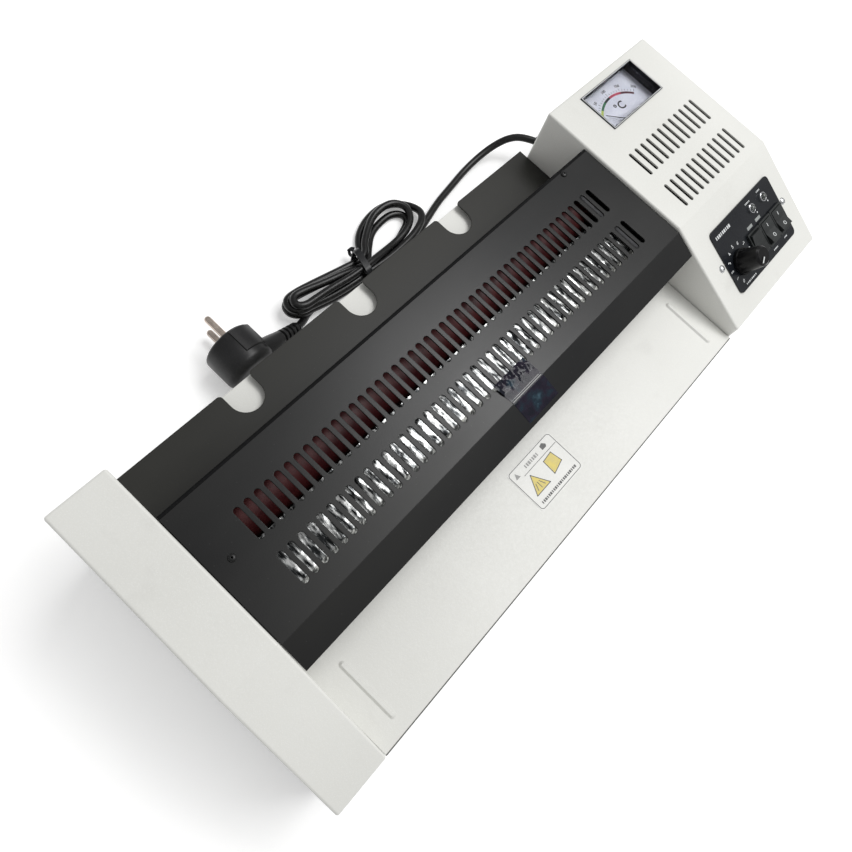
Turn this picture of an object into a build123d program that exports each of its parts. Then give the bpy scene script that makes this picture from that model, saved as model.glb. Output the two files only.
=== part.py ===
from build123d import *
import math
import os

# A pouch laminator for sheets up to 320 mm wide. All sizes are in millimetres.
# X runs along the rollers, Y from the feed side to the exit side, Z is up.
# The origin is on the floor, under the middle of the machine without its cord.

# Overall sizes
HALF_WIDTH = 250.0
FRONT_Y = -100.0
REAR_Y = 100.0
SCREW_HEAD = 1.4
REAR_PANEL_Y = REAR_Y - SCREW_HEAD
FOOT_HEIGHT = 12.0
TOP_Z = 108.0
SHEET = 1.2
FIT_GAP = 0.5

# End covers: a narrow one on the left, a wide one with the controls on the right
LEFT_WALL_X = -216.0
RIGHT_WALL_X = 134.0
COVER_REAR_Y = 92.5
COVER_FRONT_Y = -98.5
BEND_Y = -22.7
LIP_Z = 76.2
SKIRT_Z = 14.0
SLOPE_RUN = BEND_Y - COVER_FRONT_Y
SLOPE_DROP = TOP_Z - LIP_Z
SLOPE_ANGLE = math.atan2(SLOPE_DROP, SLOPE_RUN)

# Black vented cover between the end covers
VENTED_TOP_Z = 105.7
VENTED_SHEET = 1.0
VENTED_REAR_Y = 59.0
VENTED_BEND_Y = -24.2
VENTED_LIP_Y = -41.0
VENTED_LIP_Z = 98.4
SLOT_COUNT = 46
SLOT_PITCH = 6.565
SLOT_LENGTH = 20.0
SLOT_WIDTH = 3.8
SLOT_MIDDLE_X = -39.7
SLOT_ROWS_Y = (-2.6, 27.4)

# Trays
TRAY_TOP_Z = 66.5
TRAY_BOTTOM_Z = TRAY_TOP_Z - SHEET
FEED_TRAY_END_Y = -7.0
EXIT_TRAY_START_Y = 48.0
EXIT_TRAY_END_Y = REAR_PANEL_Y
NOTCH_X = (-134.1, -40.9, 51.8)
NOTCH_WIDTH = 21.0
NOTCH_DEPTH = 20.0
GUIDE_CREASE_X = (-199.8, 118.5)

# Roller stack
HOT_Y = 4.0
PULL_Y = 37.0
LOWER_Z = 54.0
UPPER_Z = 82.0
ROLLER_START_X = -201.0
ROLLER_END_X = 119.0
SLEEVE_RADIUS = 13.8
HOT_CORE_RADIUS = 11.0
HOT_CORE_BORE = 8.0
HOT_JOURNAL_RADIUS = 7.0
HOT_JOURNAL_BORE = 5.0
HEATER_RADIUS = 3.2
PULL_CORE_RADIUS = 8.0
PULL_JOURNAL_RADIUS = 4.0
CORE_OVERHANG = 2.0
JOURNAL_START_X = -214.0
JOURNAL_END_X = 149.0
RUNNING_CLEARANCE = 0.05

# Side frames that carry the rollers
FRAME_SHEET = 2.0
LEFT_FRAME_X = -209.0
RIGHT_FRAME_X = 125.0
FRAME_FRONT_Y = -15.0
FRAME_REAR_Y = 56.0
FRAME_TOP_Z = 101.2
FRAME_FLANGE_X = (-191.0, 101.3)
FLANGE_OVERHANG = 4.0
BLOCK_WIDTH = 20.0
BLOCK_HEIGHT = 16.0
BLOCK_THICKNESS = 6.0
BLOCK_GROOVE = 2.0
GUIDE_CLEARANCE = 0.3
SPRING_RADIUS = 4.6
SPRING_WIRE = 0.7
SPRING_TURNS = 4

# Gear train, all of one module
GEAR_MODULE = 1.4
ROLLER_TEETH = 20
IDLER_TEETH = 12
PINION_TEETH = 10
GEAR_START_X = 140.0
GEAR_END_X = 148.0
PINION_DIRECTION = 200.0
MOTOR_SHAFT_RADIUS = 3.0
MOTOR_RADIUS = 24.0
MOTOR_Y = -32.0
MOTOR_Z = 44.0
MOTOR_START_X = 153.0
MOTOR_LENGTH = 48.0

# Control panel on the slope of the right end cover, placed by its own flat coordinates:
# across is the machine's X, and up_slope counts from the bend and is negative down the slope
PANEL_WIDTH = 79.5
PANEL_HEIGHT = 48.5
PANEL_ACROSS = 193.2
PANEL_UP_SLOPE = -42.3
PANEL_SHEET = 1.0
PANEL_CORNER = 3.5
KNOB_ACROSS = 168.8
KNOB_UP_SLOPE = -49.5
KNOB_HEIGHT = 16.5
KNOB_GAP = 0.6
KNOB_BASE_RADIUS = 8.6
KNOB_TOP_RADIUS = 7.0
KNOB_SHAFT_RADIUS = 3.0
ROCKER_ACROSS = (191.6, 207.1, 222.6)
ROCKER_UP_SLOPE = -49.0
BEZEL_WIDTH = 15.0
BEZEL_HEIGHT = 20.0
BEZEL_RISE = 1.6
ROCKER_WIDTH = 11.8
ROCKER_REACH = 8.2
ROCKER_CLEARANCE = 0.4
ROCKER_TILT = 10.0
ROCKER_PIN_RADIUS = 1.0
ROCKER_PIVOT_HEIGHT = 0.4
LAMP_ACROSS = (202.0, 217.6)
LAMP_UP_SLOPE = -27.5
PANEL_SCREW_ACROSS = (149.6, 237.1)
PANEL_SCREW_UP_SLOPE = -42.5

# Temperature meter in the top of the right end cover
METER_START_X = 162.5
METER_END_X = 222.5
METER_FRONT_Y = 54.6
METER_REAR_Y = 86.0
METER_WALL = 1.2
METER_RIM = 0.8
DIAL_TOP_Z = 98.8
NEEDLE_X = 192.5
NEEDLE_Y = 50.2
NEEDLE_Z = 101.0
NEEDLE_LENGTH = 27.0
NEEDLE_REST_ANGLE = 135.0

# Vents of the right end cover
VENT_COUNT = 12
VENT_PITCH = 7.0
VENT_START_X = 154.3
VENT_LENGTH = 20.5
VENT_WIDTH = 2.8
VENT_ROWS_Y = (-5.7, 25.5)

# Mains lead
CORD_DIAMETER = 5.6
CORD_RADIUS = CORD_DIAMETER / 2
GLAND_X = 203.0
GLAND_Z = 24.0
BOOT_LENGTH = 22.0
BOOT_SWING = 25.0
BOOT_DROP = 4.0
LEAD_POINTS = [
    (193.7, 112.4, 22.5),
    (189.3, 121.9, 21.7),
    (182.2, 129.5, 18.4),
    (171.8, 134.5, 13.0),
    (157.5, 137.0, 7.6),
    (139.5, 136.8, 3.8),
    (120.0, 133.6, 3.0),
    (100.0, 130.4, 3.0),
    (80.0, 124.6, 3.2),
]
TAIL_POINTS = [
    (-46.5, 126.0, 3.6),
    (-53.0, 122.6, 5.8),
    (-60.5, 120.9, 9.2),
]
PLUG_X = -106.5
PLUG_FACE_Y = 138.5
PLUG_BACK_Y = 112.0
PLUG_RADIUS = 18.5
PLUG_PIN_RADIUS = 2.4
PLUG_PIN_LENGTH = 19.0
PLUG_PIN_SPACING = 19.0
HANK_HEIGHT = 16.8
LOOP_HEIGHT = 11.2

# Base pan, feet and rear panel
PAN_TOP_Z = FOOT_HEIGHT + SHEET
PAN_WALL_TOP_Z = 34.0
FOOT_X = 222.0
FOOT_Y = 72.0
FOOT_PLACES = [(x, y) for x in (-FOOT_X, FOOT_X) for y in (-FOOT_Y, FOOT_Y)]
PANEL_LEDGE_Z = 61.5
REAR_SCREW_X = (-195.0, -95.0, 13.0, 113.0)
REAR_SCREW_Z = 22.0

# Small fittings inside and on the covers
VENTED_SCREWS = ((105.7, 55.0), (-204.1, 20.6))
BEARING_RADIUS = 10.0
IDLER_STUD_RADIUS = 3.0
HOLDER_LEFT_X = -224.0
HOLDER_RIGHT_X = 155.0
HOLDER_THICKNESS = 3.0
BOARD_LOW = (160.0, 22.0, 24.0)
BOARD_HIGH = (232.0, 76.0, 25.6)
FLUTE_COUNT = 12
KNOB_POINTER_ANGLE = 212.0
METER_BODY_LOW = (160.0, 43.0, 90.0)
METER_BODY_HIGH = (225.0, 88.0, TOP_Z - SHEET)
NEEDLE_PIN_RADIUS = 1.0

SLOPE_PLANE = Plane(
    origin=(0, BEND_Y, TOP_Z),
    x_dir=(1, 0, 0),
    z_dir=(0, -math.sin(SLOPE_ANGLE), math.cos(SLOPE_ANGLE)),
)


def box(low, high):
    """A box between its lowest and its highest corner."""
    size = [high[i] - low[i] for i in range(3)]
    middle = [(high[i] + low[i]) / 2 for i in range(3)]
    return Pos(*middle) * Box(*size)


def rod(radius, start_x, end_x, y, z):
    """A cylinder along X."""
    middle = Pos((start_x + end_x) / 2, y, z)
    return middle * Rot(0, 90, 0) * Cylinder(radius, end_x - start_x)


def post(radius, x, y, start_z, end_z):
    """A cylinder along Z."""
    return Pos(x, y, (start_z + end_z) / 2) * Cylinder(radius, end_z - start_z)


def dowel(radius, x, start_y, end_y, z):
    """A cylinder along Y."""
    middle = Pos(x, (start_y + end_y) / 2, z)
    return middle * Rot(90, 0, 0) * Cylinder(radius, end_y - start_y)


def side_prism(points, start_x, end_x):
    """An outline of (y, z) points extruded along X."""
    outline = make_face(Polyline(*points, close=True))
    sketch = Plane.YZ.offset(start_x) * outline
    return extrude(sketch, end_x - start_x, dir=(1, 0, 0))


def flat_prism(points, start_z, end_z):
    """An outline of (x, y) points extruded along Z."""
    outline = make_face(Polyline(*points, close=True))
    return extrude(Plane.XY.offset(start_z) * outline, end_z - start_z, dir=(0, 0, 1))


def on_slope(across, up_slope, height=0.0):
    """The place on the slope's own plane, with height along the slope's normal."""
    return SLOPE_PLANE.location * Pos(across, up_slope, height)


def group(shapes):
    """Separate solids of one kind that share a node."""
    return Compound(children=list(shapes))


def export(name, shape):
    export_step(shape, f"parts/{name}.step")


# ---------------------------------------------------------------- casings


def end_cover_profile():
    return [
        (COVER_FRONT_Y, SKIRT_Z),
        (COVER_FRONT_Y, LIP_Z),
        (BEND_Y, TOP_Z),
        (COVER_REAR_Y, TOP_Z),
        (COVER_REAR_Y, SKIRT_Z),
    ]


def end_cover(start_x, end_x):
    """A folded sheet-steel hood, open underneath, with softly rounded folds."""
    hood = side_prism(end_cover_profile(), start_x, end_x)
    folds = hood.edges().filter_by(lambda edge: edge.center().Z > SKIRT_Z + 1)
    hood = fillet(folds, 1.6)
    underside = hood.faces().sort_by(Axis.Z)[0]
    return offset(hood, amount=-SHEET, openings=underside)


def roller_window(start_x, end_x):
    """The opening in an end cover's inner wall that the journals pass through."""
    return box((start_x, -20.0, 25.0), (end_x, 55.0, 98.0))


def make_left_end_cover():
    cover = end_cover(-HALF_WIDTH, LEFT_WALL_X)
    return cover - roller_window(LEFT_WALL_X - 3, LEFT_WALL_X + 1)


def vent_cutters():
    for row_y in VENT_ROWS_Y:
        for i in range(VENT_COUNT):
            x = VENT_START_X + i * VENT_PITCH
            slot = Pos(x, row_y) * SlotOverall(VENT_LENGTH, VENT_WIDTH, rotation=90)
            yield extrude(Plane.XY.offset(TOP_Z - 3) * slot, 6)


def control_cutters():
    """Openings in the slope behind the control panel."""
    for across in ROCKER_ACROSS:
        yield on_slope(across, ROCKER_UP_SLOPE) * Box(BEZEL_WIDTH - 1.2, BEZEL_HEIGHT - 1.2, 8)
    yield on_slope(KNOB_ACROSS, KNOB_UP_SLOPE) * Cylinder(4.6, 8)
    for across in LAMP_ACROSS:
        yield on_slope(across, LAMP_UP_SLOPE) * Cylinder(2.6, 8)


def make_right_end_cover():
    cover = end_cover(RIGHT_WALL_X, HALF_WIDTH)
    cover -= roller_window(RIGHT_WALL_X - 1, RIGHT_WALL_X + 3)
    meter_low = (METER_START_X, METER_FRONT_Y, TOP_Z - 4)
    meter_high = (METER_END_X, METER_REAR_Y, TOP_Z + 2)
    cover -= box(meter_low, meter_high)
    cover -= list(vent_cutters())
    cover -= list(control_cutters())
    for across in PANEL_SCREW_ACROSS:
        cover -= on_slope(across, PANEL_SCREW_UP_SLOPE) * Cylinder(1.5, 8)
    cover -= dowel(6.0, GLAND_X, COVER_REAR_Y - 4, COVER_REAR_Y + 2, GLAND_Z)
    return cover


def make_top_cover():
    """The vented cover: flat top, sloped lip over the feed slot, hem above the exit slot."""
    top = VENTED_TOP_Z
    under = top - VENTED_SHEET
    outline = [
        (VENTED_REAR_Y, 96.0),
        (VENTED_REAR_Y, top),
        (VENTED_BEND_Y, top),
        (VENTED_LIP_Y, VENTED_LIP_Z),
        (VENTED_LIP_Y + 0.4, VENTED_LIP_Z - VENTED_SHEET),
        (VENTED_BEND_Y + 0.4, under),
        (VENTED_REAR_Y - VENTED_SHEET, under),
        (VENTED_REAR_Y - VENTED_SHEET, 96.0),
    ]
    start_x = LEFT_WALL_X + FIT_GAP
    end_x = RIGHT_WALL_X - FIT_GAP
    cover = side_prism(outline, start_x, end_x)
    for wall_x in (start_x, end_x - VENTED_SHEET):
        low = (wall_x, VENTED_BEND_Y + 2, 98.0)
        high = (wall_x + VENTED_SHEET, VENTED_REAR_Y - VENTED_SHEET, under)
        cover += box(low, high)
    slots = Sketch()
    first_x = SLOT_MIDDLE_X - (SLOT_COUNT - 1) * SLOT_PITCH / 2
    for row_y in SLOT_ROWS_Y:
        places = [Pos(first_x + i * SLOT_PITCH, row_y) for i in range(SLOT_COUNT)]
        slots += [place * SlotOverall(SLOT_LENGTH, SLOT_WIDTH, rotation=90) for place in places]
    cutters = extrude(Plane.XY.offset(top - 3) * slots, 6)
    cover -= cutters
    for x, y in VENTED_SCREWS:
        cover -= post(1.2, x, y, top - 3, top + 1)
    return cover


def make_feed_tray():
    """White infeed table with a front apron and two embossed side guides."""
    wide_start = LEFT_WALL_X + FIT_GAP
    wide_end = RIGHT_WALL_X - FIT_GAP
    outline = [
        (wide_start, FRONT_Y),
        (wide_end, FRONT_Y),
        (wide_end, FRAME_FRONT_Y - 1),
        (RIGHT_FRAME_X - 1, FRAME_FRONT_Y - 1),
        (RIGHT_FRAME_X - 1, FEED_TRAY_END_Y),
        (LEFT_FRAME_X + FRAME_SHEET + 1, FEED_TRAY_END_Y),
        (LEFT_FRAME_X + FRAME_SHEET + 1, FRAME_FRONT_Y - 1),
        (wide_start, FRAME_FRONT_Y - 1),
    ]
    tray = flat_prism(outline, TRAY_BOTTOM_Z, TRAY_TOP_Z)
    apron_high = (wide_end, FRONT_Y + SHEET, TRAY_BOTTOM_Z)
    tray += box((wide_start, FRONT_Y, SKIRT_Z), apron_high)
    front_fold = tray.edges().filter_by(Axis.X).sort_by(
        lambda edge: (edge.center().Y - FRONT_Y) - (edge.center().Z - TRAY_TOP_Z)
    )[0]
    tray = fillet(front_fold, 1.0)
    for crease_x in GUIDE_CREASE_X:
        ridge = Pos(crease_x, -71.0, TRAY_TOP_Z - 0.2) * Rot(0, 0, 90) * embossed_ridge()
        tray += ridge
    return tray


def embossed_ridge():
    """A long low ridge pressed up out of the tray, tapered at its ends."""
    base = SlotOverall(40.0, 4.4)
    crest = Pos(0, 0, 1.3) * SlotOverall(37.0, 1.6)
    return loft([base, crest])


def make_exit_tray():
    """Black outfeed table with three finger notches in its rear edge."""
    wide_start = LEFT_WALL_X + FIT_GAP
    wide_end = RIGHT_WALL_X - FIT_GAP
    outline = [
        (LEFT_FRAME_X + FRAME_SHEET + 1, EXIT_TRAY_START_Y),
        (RIGHT_FRAME_X - 1, EXIT_TRAY_START_Y),
        (RIGHT_FRAME_X - 1, FRAME_REAR_Y + 1),
        (wide_end, FRAME_REAR_Y + 1),
        (wide_end, EXIT_TRAY_END_Y),
        (wide_start, EXIT_TRAY_END_Y),
        (wide_start, FRAME_REAR_Y + 1),
        (LEFT_FRAME_X + FRAME_SHEET + 1, FRAME_REAR_Y + 1),
    ]
    tray = flat_prism(outline, TRAY_BOTTOM_Z, TRAY_TOP_Z)
    half_notch = NOTCH_WIDTH / 2
    round_y = EXIT_TRAY_END_Y - NOTCH_DEPTH + half_notch
    for x in NOTCH_X:
        tray -= post(half_notch, x, round_y, TRAY_BOTTOM_Z - 1, TRAY_TOP_Z + 1)
        tray -= box(
            (x - half_notch, round_y, TRAY_BOTTOM_Z - 1),
            (x + half_notch, EXIT_TRAY_END_Y + 1, TRAY_TOP_Z + 1),
        )
    mouth_corners = tray.edges().filter_by(Axis.Z).filter_by(is_notch_mouth)
    return fillet(mouth_corners, 2.5)


def is_notch_mouth(edge):
    place = edge.center()
    near_edge = abs(place.Y - EXIT_TRAY_END_Y) < 0.1
    return near_edge and LEFT_WALL_X + 5 < place.X < RIGHT_WALL_X - 5


def make_rear_base_panel():
    """White rear wall with a top ledge under the exit tray."""
    start_x = LEFT_WALL_X + FIT_GAP
    end_x = RIGHT_WALL_X - FIT_GAP
    panel = box((start_x, REAR_PANEL_Y - SHEET, SKIRT_Z), (end_x, REAR_PANEL_Y, PANEL_LEDGE_Z))
    panel += box((start_x, 68.0, PANEL_LEDGE_Z - SHEET), (end_x, REAR_PANEL_Y, PANEL_LEDGE_Z))
    for side_x in (start_x, end_x - SHEET):
        panel += box((side_x, 68.0, SKIRT_Z + 20), (side_x + SHEET, REAR_PANEL_Y, PANEL_LEDGE_Z))
    for x in REAR_SCREW_X:
        panel -= dowel(1.7, x, REAR_PANEL_Y - 3, REAR_PANEL_Y + 1, REAR_SCREW_Z)
    return panel


def make_base_pan():
    """Floor pan with upturned edges and a grille under the heated rollers."""
    reach_x = HALF_WIDTH - SHEET - FIT_GAP
    front = COVER_FRONT_Y + SHEET + FIT_GAP
    rear = COVER_REAR_Y - SHEET - FIT_GAP
    pan = box((-reach_x, front, FOOT_HEIGHT), (reach_x, rear, PAN_WALL_TOP_Z))
    pan -= box(
        (-reach_x + SHEET, front + SHEET, PAN_TOP_Z),
        (reach_x - SHEET, rear - SHEET, PAN_WALL_TOP_Z + 1),
    )
    for wall_start in (LEFT_WALL_X - SHEET, RIGHT_WALL_X):
        notch_low = (wall_start - FIT_GAP, front - 1, PAN_TOP_Z)
        pan -= box(notch_low, (wall_start + SHEET + FIT_GAP, rear + 1, PAN_WALL_TOP_Z + 1))
    pan -= dowel(8.5, GLAND_X, rear - 3, rear + 3, GLAND_Z)
    pan -= box((GLAND_X - 8.5, rear - 3, GLAND_Z), (GLAND_X + 8.5, rear + 3, PAN_WALL_TOP_Z + 1))
    grille = [Pos(-190.0 + 15 * i, 20.0) * SlotOverall(50.0, 5.0, rotation=90) for i in range(21)]
    pan -= extrude(Plane.XY.offset(FOOT_HEIGHT - 1) * (Sketch() + grille), 4)
    for x, y in FOOT_PLACES:
        pan -= post(2.0, x, y, FOOT_HEIGHT - 1, PAN_TOP_Z + 1)
    return pan


def make_guide_plate():
    """Thin plate that carries the pouch from the hot rollers to the pull rollers."""
    middle_y = (HOT_Y + PULL_Y) / 2
    start_x = LEFT_FRAME_X + FRAME_SHEET
    low = (start_x, middle_y - 4.0, TRAY_BOTTOM_Z)
    high = (RIGHT_FRAME_X, middle_y + 4.0, TRAY_TOP_Z)
    return box(low, high)


def make_tray_label():
    label = RectangleRounded(41.0, 30.0, 1.6)
    return extrude(Plane.XY.offset(TRAY_TOP_Z) * Pos(-39.1, -65.0) * label, 0.15)


def make_rubber_feet():
    feet = []
    for x, y in FOOT_PLACES:
        foot = Pos(x, y, FOOT_HEIGHT / 2) * Rot(180, 0, 0) * Cone(11.0, 9.0, FOOT_HEIGHT)
        foot -= post(2.0, x, y, 3.0, FOOT_HEIGHT + 1)
        foot -= post(4.2, x, y, -1.0, 3.4)
        feet.append(foot)
    return group(feet)


# ---------------------------------------------------------------- side frames and roller stack


def make_side_frame(plate_x, flange_to_x):
    """An upright plate with a foot, a top flange over the roller ends and block windows."""
    plate_end = plate_x + FRAME_SHEET
    frame = box((plate_x, FRAME_FRONT_Y, PAN_TOP_Z), (plate_end, FRAME_REAR_Y, FRAME_TOP_Z))
    flange_start = min(plate_x - FLANGE_OVERHANG, flange_to_x)
    flange_end = max(plate_end + FLANGE_OVERHANG, flange_to_x)
    low = (flange_start, FRAME_FRONT_Y, FRAME_TOP_Z - SHEET)
    frame += box(low, (flange_end, FRAME_REAR_Y, FRAME_TOP_Z))
    inward = 1 if flange_to_x > plate_x else -1
    foot_x = sorted((plate_x + FRAME_SHEET / 2, plate_x + FRAME_SHEET / 2 + 16 * inward))
    foot_low = (foot_x[0], FRAME_FRONT_Y, PAN_TOP_Z)
    frame += box(foot_low, (foot_x[1], FRAME_REAR_Y, PAN_TOP_Z + FRAME_SHEET))
    half_window = BLOCK_WIDTH / 2 - BLOCK_GROOVE + GUIDE_CLEARANCE
    for y in (HOT_Y, PULL_Y):
        frame -= box(
            (plate_x - 1, y - half_window, UPPER_Z - BLOCK_HEIGHT / 2 - GUIDE_CLEARANCE),
            (plate_end + 1, y + half_window, FRAME_TOP_Z - SHEET),
        )
        frame -= rod(BEARING_RADIUS, plate_x - 1, plate_end + 1, y, LOWER_Z)
    return frame


def idler_centre():
    """The idler sits under the gap between the two lower rollers and meshes with both."""
    reach = GEAR_MODULE * (ROLLER_TEETH + IDLER_TEETH) / 2
    half_span = (PULL_Y - HOT_Y) / 2
    return HOT_Y + half_span, LOWER_Z - math.sqrt(reach**2 - half_span**2)


def make_right_side_frame():
    """The drive-side frame, with the idler's stud riveted to it."""
    frame = make_side_frame(RIGHT_FRAME_X, FRAME_FLANGE_X[1])
    y, z = idler_centre()
    stud = rod(IDLER_STUD_RADIUS, RIGHT_FRAME_X, GEAR_END_X + 2.0, y, z)
    stud += rod(5.0, RIGHT_FRAME_X + FRAME_SHEET, GEAR_START_X - 0.6, y, z)
    return frame + stud


def make_lower_bearings():
    """Flanged bushes pressed into the side frames, two for each lower roller."""
    bushes = []
    for y, journal in ((HOT_Y, HOT_JOURNAL_RADIUS), (PULL_Y, PULL_JOURNAL_RADIUS)):
        for plate_x in (LEFT_FRAME_X, RIGHT_FRAME_X):
            middle_x = plate_x + FRAME_SHEET / 2
            outward = -1 if plate_x < 0 else 1
            flange_x = sorted((middle_x + outward, middle_x + 3 * outward))
            bush = rod(BEARING_RADIUS, middle_x - 3, middle_x + 3, y, LOWER_Z)
            bush += rod(BEARING_RADIUS + 2, flange_x[0], flange_x[1], y, LOWER_Z)
            bush -= rod(journal + RUNNING_CLEARANCE, middle_x - 5, middle_x + 5, y, LOWER_Z)
            bushes.append(bush)
    return group(bushes)


def make_blocks(y, journal):
    """Sliding bearing blocks of one upper roller, grooved to ride on the side frames."""
    blocks = []
    for plate_x in (LEFT_FRAME_X, RIGHT_FRAME_X):
        middle_x = plate_x + FRAME_SHEET / 2
        half_x = BLOCK_THICKNESS / 2
        half_y = BLOCK_WIDTH / 2
        half_z = BLOCK_HEIGHT / 2
        low = (middle_x - half_x, y - half_y, UPPER_Z - half_z)
        block = box(low, (middle_x + half_x, y + half_y, UPPER_Z + half_z))
        groove_half = FRAME_SHEET / 2 + GUIDE_CLEARANCE
        for side in (-1, 1):
            edges = sorted((y + side * (half_y - BLOCK_GROOVE), y + side * (half_y + 1)))
            block -= box(
                (middle_x - groove_half, edges[0], UPPER_Z - half_z - 1),
                (middle_x + groove_half, edges[1], UPPER_Z + half_z + 1),
            )
        block -= rod(journal + RUNNING_CLEARANCE, middle_x - 5, middle_x + 5, y, UPPER_Z)
        blocks.append(block)
    return group(blocks)


def make_springs(y):
    """Compression springs between the bearing blocks and the frames' top flanges."""
    start_z = UPPER_Z + BLOCK_HEIGHT / 2 + SPRING_WIRE
    height = FRAME_TOP_Z - SHEET - SPRING_WIRE - start_z
    springs = []
    for plate_x in (LEFT_FRAME_X, RIGHT_FRAME_X):
        coil = Helix(height / SPRING_TURNS, height, SPRING_RADIUS - SPRING_WIRE)
        section = Plane(origin=coil @ 0, z_dir=coil % 0) * Circle(SPRING_WIRE)
        spring = sweep(section, path=coil, is_frenet=True)
        springs.append(Pos(plate_x + FRAME_SHEET / 2, y, start_z) * spring)
    return group(springs)


def make_hot_core(z):
    """Hollow aluminium roller with hollow journals, so the heater tube runs through it."""
    core_start = ROLLER_START_X - CORE_OVERHANG
    core_end = ROLLER_END_X + CORE_OVERHANG
    core = rod(HOT_CORE_RADIUS, core_start, core_end, HOT_Y, z)
    core += rod(HOT_JOURNAL_RADIUS, JOURNAL_START_X, JOURNAL_END_X, HOT_Y, z)
    core -= rod(HOT_CORE_BORE, core_start + 4, core_end - 4, HOT_Y, z)
    core -= rod(HOT_JOURNAL_BORE, JOURNAL_START_X - 1, JOURNAL_END_X + 1, HOT_Y, z)
    return core


def make_pull_shaft(z):
    """Solid steel roller core turned down to a journal at each end."""
    core_start = ROLLER_START_X - CORE_OVERHANG
    core_end = ROLLER_END_X + CORE_OVERHANG
    shaft = rod(PULL_CORE_RADIUS, core_start, core_end, PULL_Y, z)
    return shaft + rod(PULL_JOURNAL_RADIUS, JOURNAL_START_X, JOURNAL_END_X, PULL_Y, z)


def make_sleeve(inner_radius, y, z):
    sleeve = rod(SLEEVE_RADIUS, ROLLER_START_X, ROLLER_END_X, y, z)
    return sleeve - rod(inner_radius, ROLLER_START_X - 1, ROLLER_END_X + 1, y, z)


def make_upper_reflector():
    """Bright folded shield over the upper hot roller."""
    outline = [
        (-13.0, 90.0),
        (-9.6, 98.8),
        (17.6, 98.8),
        (19.8, 99.3),
        (19.8, 98.7),
        (17.6, 98.2),
        (-9.2, 98.2),
        (-12.4, 90.0),
    ]
    start_x = LEFT_FRAME_X + FRAME_SHEET
    reflector = side_prism(outline, start_x, RIGHT_FRAME_X)
    spring_room = 5.0
    for end_x in (start_x, RIGHT_FRAME_X):
        low = (end_x - spring_room, HOT_Y - 11, 96.0)
        reflector -= box(low, (end_x + spring_room, HOT_Y + 20, FRAME_TOP_Z))
    return reflector


def make_lower_reflector():
    """Half-round trough that throws the lower roller's heat back up."""
    start_x = LEFT_FRAME_X + FRAME_SHEET
    trough = rod(18.0, start_x, RIGHT_FRAME_X, HOT_Y, LOWER_Z)
    trough -= rod(17.4, start_x - 1, RIGHT_FRAME_X + 1, HOT_Y, LOWER_Z)
    high = (RIGHT_FRAME_X + 1, HOT_Y + 20, LOWER_Z + 20)
    return trough - box((start_x - 1, HOT_Y - 20, LOWER_Z - 4), high)


def make_heater_tubes():
    end_x = HOLDER_RIGHT_X + HOLDER_THICKNESS + 1
    return group(rod(HEATER_RADIUS, HOLDER_LEFT_X - 1, end_x, HOT_Y, z) for z in (LOWER_Z, UPPER_Z))


def make_heater_holders():
    """Ceramic straps outside the frames that hold both heater tubes still."""
    holders = []
    leg_y = (17.5, 23.5)
    leg_z = (65.0, 71.0)
    left_leg_x = (HOLDER_LEFT_X, LEFT_FRAME_X)
    right_leg_x = (RIGHT_FRAME_X + FRAME_SHEET, HOLDER_RIGHT_X + HOLDER_THICKNESS)
    for strap_x, leg_x in ((HOLDER_LEFT_X, left_leg_x), (HOLDER_RIGHT_X, right_leg_x)):
        low = (strap_x, HOT_Y - 6, LOWER_Z - 7)
        holder = box(low, (strap_x + HOLDER_THICKNESS, leg_y[1], UPPER_Z + 7))
        holder += box((leg_x[0], leg_y[0], leg_z[0]), (leg_x[1], leg_y[1], leg_z[1]))
        for z in (LOWER_Z, UPPER_Z):
            holder -= rod(HEATER_RADIUS, strap_x - 1, strap_x + HOLDER_THICKNESS + 1, HOT_Y, z)
        holders.append(holder)
    return group(holders)


def make_thermal_cutout():
    """Round thermostat clipped under the lower reflector."""
    can = post(7.5, -60.0, HOT_Y, LOWER_Z - 27.0, LOWER_Z - 18.2)
    terminals = box((-69.0, HOT_Y - 2, LOWER_Z - 27.6), (-51.0, HOT_Y + 2, LOWER_Z - 27.0))
    return can + terminals


# ---------------------------------------------------------------- drive


def gear_outline(teeth, turn, y, z):
    """Tooth outline in (y, z): root, flank, tip and flank again, with running backlash."""
    pitch_radius = GEAR_MODULE * teeth / 2
    tip_radius = pitch_radius + 0.8 * GEAR_MODULE
    root_radius = pitch_radius - 1.15 * GEAR_MODULE
    pitch_angle = 360.0 / teeth
    flank = (
        (root_radius, -0.30),
        (pitch_radius, -0.215),
        (tip_radius, -0.10),
        (tip_radius, 0.10),
        (pitch_radius, 0.215),
        (root_radius, 0.30),
    )
    points = []
    for tooth in range(teeth):
        for radius, offset_share in flank:
            angle = math.radians(turn + (tooth + offset_share) * pitch_angle)
            points.append((y + radius * math.cos(angle), z + radius * math.sin(angle)))
    return points


def meshing_turn(turn, teeth, direction, other_teeth):
    """How far the meshing gear is turned so that its gap meets this gear's tooth."""
    share = (direction - turn) * teeth / 360.0
    return direction + 180.0 - (360.0 / other_teeth) * (0.5 - share)


def make_gear(teeth, turn, y, z, bore):
    outline = gear_outline(teeth, turn, y, z)
    gear = side_prism(outline, GEAR_START_X, GEAR_END_X)
    return gear - rod(bore, GEAR_START_X - 1, GEAR_END_X + 1, y, z)


def angle_to(start, end):
    return math.degrees(math.atan2(end[1] - start[1], end[0] - start[0]))


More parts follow.
